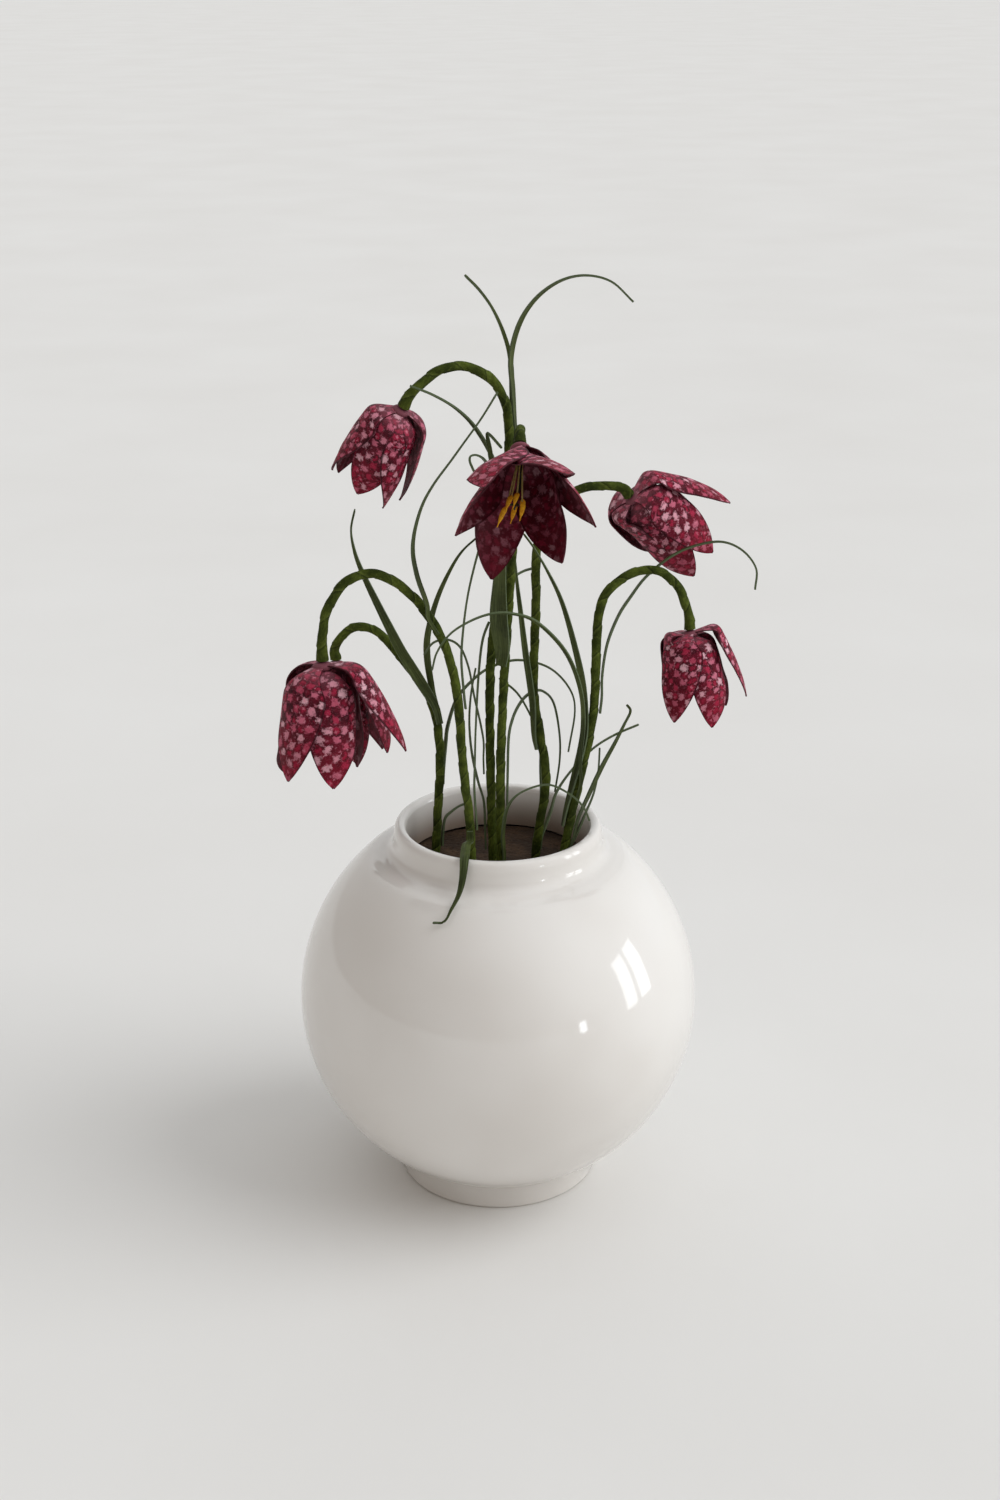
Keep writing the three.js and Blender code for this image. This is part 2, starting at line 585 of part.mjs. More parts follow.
// Six stamens that spread from a short foot under the crown, round a thicker pistil, all leaning alike
function makeStamens({ first, lean = [0, 0] }) {
  const foot = crownHeight + seat;
  const outline = [[0.5, 0.8], [2.2, 17], [2.8, 19], [3.2, 23.5]];
  const radii = [filamentRadius, filamentRadius, antherRadius, filamentRadius];
  const place = (r, z, angle) => {
    const share = (z / pistilLength) ** 2;
    const x = r * Math.cos(angle) + lean[0] * share;
    const y = r * Math.sin(angle) + lean[1] * share;
    return new THREE.Vector3(x, y, foot + z);
  };
  const rods = range(stamenCount).map((i) => {
    const angle = THREE.MathUtils.degToRad(first + 20 + (360 * i) / stamenCount);
    const reach = 1 + 0.25 * Math.sin(2.4 * i);
    const length = 0.92 + 0.08 * Math.cos(2 * i);
    const line = outline.map(([r, z]) => place(r * reach, z * length, angle));
    return rod(line, radii, 4);
  });
  const pistil = [0, 3, 10, pistilLength].map((z) => place(0, z, 0));
  return join([rod(pistil, [1, 0.9, 0.7, 0.5], 6), ...rods]);
}

group.name = 'potted_paper_fritillary';
addPiece('vase', makeVase(), colours.vase, 0.12);
addPiece('filling', makeFilling(), colours.filling, 0.95);
for (const [name, line] of Object.entries(stemLines)) {
  addPiece(name, makeStem(line), colours.stem, 0.8);
}
for (const [name, leaf] of Object.entries(leaves)) {
  addPiece(name, makeLeaf(leaf), colours.leaf, 0.75);
}
for (const [name, bloom] of Object.entries(blooms)) {
  const place = bloomFrame(bloom).scale(new THREE.Vector3().setScalar(bloom.size));
  addPiece(`${name}_petals`, makePetals(bloom).applyMatrix4(place), colours.petal, 0.7);
  addPiece(`${name}_stamens`, makeStamens(bloom).applyMatrix4(place), colours.stamen, 0.7);
}

export default group;
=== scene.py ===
from math import acos, asin, ceil, cos, pi, radians, sin, sqrt

import bmesh
import bpy
from mathutils import Matrix, Vector, noise


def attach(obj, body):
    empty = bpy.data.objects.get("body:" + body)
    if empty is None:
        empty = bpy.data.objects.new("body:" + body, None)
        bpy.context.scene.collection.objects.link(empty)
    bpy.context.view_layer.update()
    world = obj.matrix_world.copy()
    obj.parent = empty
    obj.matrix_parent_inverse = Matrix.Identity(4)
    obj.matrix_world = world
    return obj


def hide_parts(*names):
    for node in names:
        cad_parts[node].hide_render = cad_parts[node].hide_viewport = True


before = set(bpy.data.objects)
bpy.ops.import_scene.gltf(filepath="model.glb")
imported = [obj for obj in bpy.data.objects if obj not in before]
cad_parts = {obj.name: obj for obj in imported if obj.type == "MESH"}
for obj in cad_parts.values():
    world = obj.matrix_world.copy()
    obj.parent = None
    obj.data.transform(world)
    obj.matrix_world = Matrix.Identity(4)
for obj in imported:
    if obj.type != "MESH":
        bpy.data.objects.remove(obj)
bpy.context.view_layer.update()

# Metres, +Z up, +Y away from the viewer, origin under the middle of the vase


def smooth(start, end, value):
    t = min(max((value - start) / (end - start), 0), 1)
    return t * t * (3 - 2 * t)


def mix(a, b, t):
    return a + (b - a) * t


def paint(red, green, blue):
    # screen colour 0-255 to the linear colour that a shader takes
    channels = [c / 255 for c in (red, green, blue)]
    return (*[c / 12.92 if c < 0.04045 else ((c + 0.055) / 1.055) ** 2.4 for c in channels], 1)


def smoothLine(points, steps):
    # even curve through the points, each stretch in the same number of steps
    points = [Vector(p) for p in points]
    knots = [2 * points[0] - points[1], *points, 2 * points[-1] - points[-2]]
    line = []
    for i in range(len(points) - 1):
        a, b, c, d = knots[i:i + 4]
        for k in range(steps):
            t = k / steps
            bend = (2 * a - 5 * b + 4 * c - d) * t * t + (3 * b - a - 3 * c + d) * t ** 3
            line.append(0.5 * (2 * b + (c - a) * t + bend))
    return [*line, points[-1].copy()]


def lengthsAlong(line):
    along = [0]
    for a, b in zip(line, line[1:]):
        along.append(along[-1] + (b - a).length)
    return along


def evenLine(line, step):
    # the same curve again in rows of one length
    along = lengthsAlong(line)
    rows = max(ceil(along[-1] / step), 2)
    made, i = [], 0
    for k in range(rows + 1):
        place = along[-1] * k / rows
        while i < len(line) - 2 and along[i + 1] < place:
            i += 1
        made.append(line[i].lerp(line[i + 1], (place - along[i]) / (along[i + 1] - along[i])))
    return made


def headingsOf(line):
    last = len(line) - 1
    return [(line[min(i + 1, last)] - line[max(i - 1, 0)]).normalized() for i in range(last + 1)]


def lumps(point, size, seed):
    # soft noise from -1 to 1, the same each run
    return noise.noise(point / size + Vector((seed * 3.7, seed * 1.3, seed * 2.1)))


def addSheet(bm, rows, columns, shape):
    # grid whose points go where shape(row, across) says; shape gives a place and its UV
    grid = bmesh.ops.create_grid(bm, x_segments=rows, y_segments=columns, size=0.5)
    layer = bm.loops.layers.uv.verify()
    places = {}
    for vert in grid["verts"]:
        row, across = round((vert.co.x + 0.5) * rows), 2 * vert.co.y
        places[vert], uv = shape(row, across)
        for loop in vert.link_loops:
            loop[layer].uv = uv
    for vert, place in places.items():
        vert.co = place
    return grid["verts"]


def thicken(bm, verts, thickness, rimMaterial):
    # gives a sheet its thickness, with another material on its cut edge
    faces = {face for vert in verts for face in vert.link_faces}
    before = set(bm.faces)
    bm.normal_update()
    bmesh.ops.solidify(bm, geom=list(faces), thickness=thickness)
    made = [f for f in bm.faces if f not in before]
    for face in made:
        if any(vert in verts for vert in face.verts):
            face.material_index = rimMaterial
    return made


def addTube(bm, line, headings, radius, columns):
    # round closed tube along a line; radius(row, turn) gives the surface, UV is turn and length
    sides, side = [], Vector((1, 0, 0))
    for heading in headings:
        side = (side - side.dot(heading) * heading).normalized()
        sides.append((side, heading.cross(side)))
    along = lengthsAlong(line)

    def shape(row, across):
        turn = (across + 1) / 2
        a, b = sides[row]
        out = a * cos(2 * pi * turn) + b * sin(2 * pi * turn)
        return line[row] + out * radius(row, turn), (turn, along[row])

    verts = addSheet(bm, len(line) - 1, columns, shape)
    ends = list(verts)
    bmesh.ops.remove_doubles(bm, verts=verts, dist=1e-7)
    verts = [v for v in ends if v.is_valid]
    rims = [e for v in verts for e in v.link_edges if e.is_boundary]
    bmesh.ops.holes_fill(bm, edges=list(set(rims)), sides=columns)
    faces = {f for v in verts for f in v.link_faces}
    bmesh.ops.recalc_face_normals(bm, faces=list(faces))
    return faces


def turnProfile(bm, profile, steps):
    # spins a profile of (radius, height) right round +Z
    verts = [bm.verts.new((r, 0, z)) for r, z in profile]
    edges = [bm.edges.new(pair) for pair in zip(verts, verts[1:])]
    bmesh.ops.spin(bm, geom=verts + edges, cent=(0, 0, 0), axis=(0, 0, 1), angle=2 * pi,
                   steps=steps, use_merge=True)
    bmesh.ops.remove_doubles(bm, verts=bm.verts, dist=1e-6)
    bmesh.ops.recalc_face_normals(bm, faces=bm.faces)


def finishPiece(bm, name, materials, nodes, crisp=40):
    # smooth shading with crisp edges, then the piece takes its nodes' place
    for face in bm.faces:
        face.smooth = True
    for edge in bm.edges:
        edge.smooth = not (len(edge.link_faces) == 2 and edge.calc_face_angle() > radians(crisp))
    mesh = bpy.data.meshes.new(name)
    bm.to_mesh(mesh)
    bm.free()
    for material in materials:
        mesh.materials.append(material)
    piece = bpy.data.objects.new(name, mesh)
    bpy.context.scene.collection.objects.link(piece)
    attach(piece, "root")
    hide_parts(*nodes)
    return piece


def newMaterial(name):
    material = bpy.data.materials.new(name)
    material.use_nodes = True
    tree = material.node_tree
    return material, tree, tree.nodes["Principled BSDF"]


def node(tree, kind, inputs=None, **settings):
    made = tree.nodes.new("ShaderNode" + kind)
    for key, value in settings.items():
        setattr(made, key, value)
    for key, value in (inputs or {}).items():
        if isinstance(value, bpy.types.NodeSocket):
            tree.links.new(value, made.inputs[key])
        else:
            made.inputs[key].default_value = value
    return made


def maths(tree, operation, *values):
    return node(tree, "Math", dict(enumerate(values)), operation=operation).outputs[0]


def fade(tree, value, start, end, low=0.0, high=1.0):
    # value from start to end becomes low to high, eased and clamped
    made = node(tree, "MapRange", {"Value": value, "From Min": start, "From Max": end,
                                   "To Min": low, "To Max": high}, interpolation_type="SMOOTHSTEP")
    return made.outputs[0]


def blend(tree, factor, a, b):
    return node(tree, "Mix", {0: factor, 6: a, 7: b}, data_type="RGBA").outputs[2]


def speckle(tree, where, scale, detail=3.0, rough=0.5):
    made = node(tree, "TexNoise", {"Vector": where, "Scale": scale, "Detail": detail, "Roughness": rough})
    return made.outputs["Fac"]


def bump(tree, shader, height, distance, strength=1.0):
    made = node(tree, "Bump", {"Height": height, "Distance": distance, "Strength": strength})
    tree.links.new(made.outputs[0], shader.inputs["Normal"])


def objectPlace(tree):
    return node(tree, "TexCoord").outputs["Object"]


def uvPlace(tree):
    return node(tree, "TexCoord").outputs["UV"]


def surface(tree, shader, colour, rough, gloss=0.5):
    tree.links.new(colour, shader.inputs["Base Color"])
    shader.inputs["Roughness"].default_value = rough
    shader.inputs["Specular IOR Level"].default_value = gloss


vase = {
    "height": 0.1195, "bodyRadius": 0.0625, "bodyMiddle": 0.0605, "bodyDrop": 0.061,
    "footRadius": 0.0317, "footHeight": 0.0072, "shoulderZ": 0.1078, "neckRadius": 0.0322,
    "mouthRadius": 0.0282, "innerRadius": 0.0587, "innerRise": 0.052, "innerDrop": 0.0545, "turns": 128,
    "ring": [(0.006, 0.0012), (0.0045, 0.0002), (0.004, 0), (0.001, 0), (0.0003, 0.0003), (0, 0.001)],
    "ledge": [(0.0394, 0.1087), (0.0370, 0.1095), (0.0344, 0.1103), (0.0327, 0.112)],
}

filling = {
    "top": 0.106, "gap": 0.0003, "turns": 120, "ringStep": 0.00055,
    "dimple": 0.0006, "dimpleFrom": 0.0014, "dimpleTo": 0.0034,
    "pit": 0.0012, "pitSize": 0.0016, "sag": 0.0003, "sagSize": 0.007,
}


def bodyArc(radius, rise, start, end, steps):
    middle = vase["bodyMiddle"]
    angles = [mix(start, end, i / steps) for i in range(steps + 1)]
    return [(radius * cos(a), middle + rise * sin(a)) for a in angles]


def makeGlaze():
    material, tree, shader = newMaterial("whiteGlaze")
    where = objectPlace(tree)
    cloud = speckle(tree, where, 18, 2)
    colour = blend(tree, fade(tree, cloud, 0.35, 0.65), paint(236, 233, 229), paint(229, 225, 220))
    # painted shade: the wall inside the mouth darkens to taupe towards the filling, where shade falls deep in
    # the mouth
    split = node(tree, "SeparateXYZ", {0: where}).outputs
    flat = node(tree, "VectorMath", {0: where, 1: (1, 1, 0)}, operation="MULTIPLY").outputs[0]
    radius = node(tree, "VectorMath", {0: flat}, operation="LENGTH").outputs["Value"]
    mouthShade = maths(tree, "MULTIPLY", fade(tree, split[2], vase["height"] - 0.0005, filling["top"], 0, 0.85),
                  fade(tree, radius, vase["neckRadius"] - 0.0014, vase["mouthRadius"] + 0.0003))
    colour = blend(tree, mouthShade, colour, paint(128, 106, 86))
    surface(tree, shader, colour, 0.08, 0.55)
    shader.inputs["Coat Weight"].default_value = 0.3
    shader.inputs["Coat Roughness"].default_value = 0.05
    bump(tree, shader, speckle(tree, where, 55, 1), 0.0003, 0.25)
    return material


def makeBisque():
    material, tree, shader = newMaterial("bareFoot")
    where = objectPlace(tree)
    grain = speckle(tree, where, 1400, 3)
    colour = blend(tree, grain, paint(214, 205, 192), paint(232, 226, 216))
    surface(tree, shader, colour, 0.85)
    bump(tree, shader, grain, 0.0002, 0.5)
    return material


def makeVase():
    v = vase
    neck, mouth, top = v["neckRadius"], v["mouthRadius"], v["height"]
    foot = v["footRadius"]
    profile = [
        (0, v["ring"][0][1]), *[(foot - inward, z) for inward, z in v["ring"]], (foot, v["footHeight"]),
        *bodyArc(v["bodyRadius"], v["bodyDrop"], -acos(foot / v["bodyRadius"]), 0, 30)[1:],
        *bodyArc(v["bodyRadius"], v["bodyRadius"], 0,
                 asin((v["shoulderZ"] - v["bodyMiddle"]) / v["bodyRadius"]), 24)[1:],
    ]
    soft = smoothLine([*[(r, 0, z) for r, z in v["ledge"]],
                       (neck - 0.0001, 0, 0.1145), (neck - 0.0002, 0, top - 0.0022),
                       (neck - 0.0009, 0, top - 0.0005), (neck - 0.002, 0, top),
                       (mouth + 0.0007, 0, top - 0.0004), (mouth, 0, top - 0.0016)], 5)
    profile += [(p.x, p.z) for p in soft]
    profile += bodyArc(v["innerRadius"], v["innerRise"], acos(mouth / v["innerRadius"]), 0, 20)
    profile += bodyArc(v["innerRadius"], v["innerDrop"], 0, -pi / 2, 24)[1:-1]
    profile.append((0, v["bodyMiddle"] - v["innerDrop"]))
    bm = bmesh.new()
    turnProfile(bm, profile, v["turns"])
    for face in bm.faces:
        middle = face.calc_center_median()
        if middle.z < 0.0015 and middle.xy.length < foot - 0.0005:
            face.material_index = 1
    return finishPiece(bm, "glazed_vase", [makeGlaze(), makeBisque()], ["vase"], 60)


stemRoutes = {
    "stem_1": [(-0.0014, -0.0045, 0.106), (-0.002, -0.0045, 0.131), (-0.0023, -0.0045, 0.154),
        (-0.0019, -0.005, 0.174), (-0.0001, -0.005, 0.192), (0.0023, -0.006, 0.217),
        (0.0034, -0.007, 0.2375), (0.0031, -0.008, 0.248), (0.0003, -0.009, 0.256),
        (-0.0045, -0.01, 0.2603), (-0.01, -0.012, 0.2624), (-0.0155, -0.014, 0.2618),
        (-0.02, -0.0156, 0.259)],
    "stem_2": [(0.001, -0.0086, 0.106), (0.0008, -0.0086, 0.131), (0.0012, -0.0088, 0.151),
        (0.0022, -0.0095, 0.174), (0.0036, -0.0105, 0.197), (0.0049, -0.012, 0.219),
        (0.006, -0.0136, 0.233), (0.0066, -0.017, 0.243), (0.0066, -0.021, 0.2466)],
    "stem_3": [(0.0116, 0.002, 0.106), (0.0129, 0.002, 0.117), (0.0147, 0.003, 0.1285),
        (0.0146, 0.003, 0.1365), (0.0127, 0.005, 0.148), (0.0111, 0.006, 0.159),
        (0.0112, 0.008, 0.1736), (0.0116, 0.009, 0.188), (0.0118, 0.0095, 0.203),
        (0.0146, 0.01, 0.2135), (0.0194, 0.0106, 0.2187), (0.025, 0.0116, 0.2214),
        (0.0307, 0.0126, 0.222)],
    "stem_4": [(-0.0076, -0.015, 0.106), (-0.0084, -0.016, 0.1267), (-0.0095, -0.017, 0.1375),
        (-0.0104, -0.018, 0.1485), (-0.0112, -0.019, 0.1624), (-0.0123, -0.02, 0.1724),
        (-0.015, -0.021, 0.1834), (-0.0195, -0.022, 0.1928), (-0.025, -0.023, 0.2),
        (-0.0313, -0.025, 0.2053), (-0.0368, -0.026, 0.2066), (-0.042, -0.0276, 0.205),
        (-0.046, -0.029, 0.2006), (-0.0486, -0.03, 0.1946)],
    "stem_5": [(0.019, -0.008, 0.106), (0.0215, -0.008, 0.12), (0.0238, -0.007, 0.1314),
        (0.0264, -0.006, 0.1437), (0.0278, -0.006, 0.1508), (0.029, -0.005, 0.161),
        (0.0293, -0.004, 0.1758), (0.0297, -0.003, 0.185), (0.031, -0.002, 0.191),
        (0.0336, -0.001, 0.1948), (0.0373, 0, 0.1975), (0.0421, 0.001, 0.1993),
        (0.047, 0.0014, 0.1992), (0.051, 0.002, 0.1968), (0.0546, 0.0026, 0.192)],
    "stem_6": [(-0.0194, 0.006, 0.106), (-0.0186, 0.007, 0.1204), (-0.0178, 0.009, 0.134),
        (-0.0182, 0.011, 0.1442), (-0.0199, 0.013, 0.152), (-0.0223, 0.015, 0.157),
        (-0.026, 0.017, 0.1618), (-0.0307, 0.02, 0.167), (-0.0348, 0.023, 0.171),
        (-0.039, 0.026, 0.1732), (-0.0434, 0.028, 0.1732), (-0.0473, 0.0294, 0.171)],
}


def makeFoam():
    material, tree, shader = newMaterial("brownFoam")
    where = objectPlace(tree)
    pores = node(tree, "TexVoronoi", {"Vector": where, "Scale": 900.0, "Randomness": 1.0})
    patch = speckle(tree, where, 120, 3)
    colour = blend(tree, fade(tree, patch, 0.35, 0.7), paint(50, 35, 22), paint(74, 54, 36))
    # painted shade in the pores: darker where the bump sinks into pits
    colour = blend(tree, fade(tree, pores.outputs["Distance"], 0.1, 0.45, 0.55, 0), colour, paint(22, 14, 9))
    surface(tree, shader, colour, 0.92)
    height = maths(tree, "ADD", pores.outputs["Distance"], speckle(tree, where, 300, 3))
    bump(tree, shader, height, 0.0004, 0.7)
    return material


def makeFilling():
    f, v = filling, vase
    inner, rise = v["innerRadius"] - f["gap"], v["innerRise"] - f["gap"]
    edge = v["mouthRadius"] - f["gap"]
    profile = [(0, v["bodyMiddle"] - v["innerDrop"] + f["gap"])]
    profile += bodyArc(inner, v["innerDrop"] - f["gap"], -pi / 2, 0, 16)[1:]
    profile += bodyArc(inner, rise, 0, acos(v["mouthRadius"] / v["innerRadius"]), 12)[1:-1]
    rings = round(edge / f["ringStep"])
    profile += [(edge * (1 - i / rings), f["top"]) for i in range(rings + 1)]
    bm = bmesh.new()
    turnProfile(bm, profile, f["turns"])
    roots = [Vector(route[0]) for route in stemRoutes.values()]
    for vert in bm.verts:
        if vert.co.z < f["top"] - 1e-6:
            continue
        near = min((vert.co - root).length for root in roots)
        sunk = f["dimple"] * (1 - smooth(f["dimpleFrom"], f["dimpleTo"], near))
        pit = max(0, lumps(vert.co, f["pitSize"], 4)) ** 2 * f["pit"]
        vert.co.z -= sunk + pit + f["sag"] * (1 + lumps(vert.co, f["sagSize"], 2))
    return finishPiece(bm, "filling_foam", [makeFoam()], ["filling"])


stem = {
    "wrapRadius": 0.00135, "topRadius": 0.0018, "depth": 0.04, "row": 0.00045, "columns": 22,
    "pitch": 0.0085, "overlap": 0.00024, "seat": 0.0003, "flare": 0.006, "neckRun": 0.004,
    "drift": 0.13, "driftSize": 0.012, "reach": 0.002,
    "dent": 0.00016, "dentSize": 0.0046, "grain": 0.00006, "grainSize": 0.0014,
}

# each petal: swing of its tip, how far it stands open, slope at the neck, layer (0 outside, 1 inside), curl
blooms = {
    "bloom_1": {
        "neck": (-0.026, -0.017, 0.252), "hang": (-0.47, 0.22, -0.85), "size": 0.82, "first": -15,
        "fold": 0.12, "petals": [(17, 5, 10), (-32, 2, 18), (-19, -14, 20, 0.5), (35, -1, 24, 0),
                                 (0, 0, 14, 1), (0, 0)],
    },
    "bloom_2": {
        "neck": (0.0064, -0.031, 0.2445), "hang": (0.02, -0.78, -0.62), "size": 0.95, "first": 5,
        "fold": 0.12, "lean": (-0.0022, -0.0006),
        "petals": [(13, 23, 40), (2, 41, 44), (-9, 39, 44, 0, 30), (-25, 22, 40), (3, 26, 26),
                   (26, 5, 22)],
    },
    "bloom_3": {
        "neck": (0.0395, 0.015, 0.2184), "hang": (0.65, 0.33, -0.68), "size": 0.88, "first": 28,
        "fold": 0.08, "petals": [(14, 3, 8), (8, -1, 14), (8, -14, -6, 0.5), (0, -4, -2, 0),
                                 (0, 0, 4, 1), (22, 20, -4, 0)],
    },
    "bloom_4": {
        "neck": (-0.0496, -0.03, 0.182), "hang": (0.01, -0.07, -0.99), "size": 0.97, "first": 5,
        "fold": 0.14, "petals": [(0, 23, -4), (8, -3, 12), (12, 5, 14, 0.2), (26, 11, 26),
                                 (9, 11, 6), (26, -2, -8)],
    },
    "bloom_5": {
        "neck": (0.0576, 0.003, 0.1803), "hang": (0.1, -0.12, -0.98), "size": 0.79, "first": -4,
        "fold": 0.08, "petals": [(14, 14, -14), (17, 8, 10), (13, 6, 12), (10, -2, -14, 0.6),
                                 (-3, -6, 4), (24, 10, -4)],
    },
    "bloom_6": {
        "neck": (-0.0508, 0.03, 0.1615), "hang": (0.06, -0.12, -0.99), "size": 0.9, "first": 4,
        "fold": 0.12, "petals": [(20, 11, 16), (-12, -3), (10, 14), (2, 18), (0, 6), (18, 12, 16)],
    },
}


def bloomFrame(bloom):
    down = Vector(bloom["hang"]).normalized()
    right = (Vector((1, 0, 0)) - down.x * down).normalized()
    front = down.cross(right)
    turned = Matrix((right, front, down)).transposed().to_4x4()
    return Matrix.Translation(bloom["neck"]) @ turned @ Matrix.Scale(bloom["size"], 4)


def stemCurve(name, steps):
    bloom = blooms[name.replace("stem", "bloom")]
    down = Vector(bloom["hang"]).normalized()
    neck = Vector(bloom["neck"])
    route = [*stemRoutes[name], neck - stem["neckRun"] * down, neck - stem["seat"] * down]
    line = smoothLine(route, steps)
    root = line[0].copy()
    root.z -= stem["depth"]
    return [root, *line], down


def makeCrepe():
    material, tree, shader = newMaterial("oliveCrepe")
    uv = uvPlace(tree)
    split = node(tree, "SeparateXYZ", {0: uv})
    turn, along = split.outputs[0], split.outputs[1]
    place = objectPlace(tree)
    wander = speckle(tree, place, 160, 3)
    winding = maths(tree, "SUBTRACT", turn, maths(tree, "DIVIDE", along, stem["pitch"]))
    lap = maths(tree, "FRACT", maths(tree, "ADD", winding, maths(tree, "MULTIPLY", wander, 0.4)))
    colour = blend(tree, fade(tree, wander, 0.32, 0.68), paint(44, 54, 14), paint(84, 96, 34))
    # painted highlight along the raised edge of each lap
    lapHighlight = maths(tree, "MULTIPLY", fade(tree, lap, 0.16, 0.0), 0.3)
    colour = blend(tree, lapHighlight, colour, paint(118, 130, 62))
    # painted shade in the groove where each lap ends under the next
    seam = fade(tree, lap, 0.86, 1.0)
    colour = blend(tree, maths(tree, "MULTIPLY", seam, 0.6), colour, paint(26, 32, 8))
    # fine crinkles that run along the wire
    grain = node(tree, "Mapping", {"Vector": uv, "Scale": (16.0, 620.0, 1.0)}).outputs[0]
    wrinkle = speckle(tree, grain, 1.0, 4, 0.65)
    colour = blend(tree, fade(tree, wrinkle, 0.4, 0.68, 0, 0.45), colour, paint(30, 38, 10))
    mottle = speckle(tree, place, 900, 3, 0.6)
    colour = blend(tree, fade(tree, mottle, 0.55, 0.7, 0, 0.35), colour, paint(106, 118, 52))
    surface(tree, shader, colour, 0.8, 0.12)
    height = maths(tree, "ADD", wrinkle, maths(tree, "MULTIPLY", wander, 1.6))
    bump(tree, shader, maths(tree, "SUBTRACT", height, maths(tree, "MULTIPLY", seam, 0.8)), 0.0003, 0.9)
    return material


def makeStem(name, crepe, seed):
    s = stem
    line, down = stemCurve(name, 12)
    line = evenLine(line, s["row"])
    headings = headingsOf(line)
    headings[-1] = down
    total = s["row"] * len(line)

    def radius(row, turn):
        place = s["row"] * row
        left = total - place
        base = mix(s["topRadius"], s["wrapRadius"], min(left / s["flare"], 1))
        lap = (turn - place / s["pitch"] + s["drift"] * lumps(line[row], s["driftSize"], seed)) % 1
        point = line[row] + Vector((cos(2 * pi * turn), sin(2 * pi * turn), 0)) * s["reach"]
        dent = s["dent"] * lumps(point, s["dentSize"], seed)
        rough = dent + s["grain"] * lumps(point, s["grainSize"], seed + 9)
        return base - s["overlap"] * lap + s["overlap"] / 2 + rough

    bm = bmesh.new()
    addTube(bm, line, headings, radius, s["columns"])
    return finishPiece(bm, "wrapped_" + name, [crepe], [name], 50)


leafPaper = {
    "thickness": 0.00056, "gap": 0.00076, "tipWidth": 0.00066, "tiedRun": 0.005, "steps": 8, "columns": 6,
    "broad": 0.002, "broadCrease": 0.16, "slimCrease": 0.05, "wave": 0.00012, "waveSize": 0.011,
    "footShare": 0.62, "footRun": 0.3, "slimming": 0.45, "slimRun": (0.3, 0.75), "pointing": 0.8,
    "pointFrom": 0.6, "foldRun": 0.2, "rounding": 0.45, "roundFrom": 0.985,
}

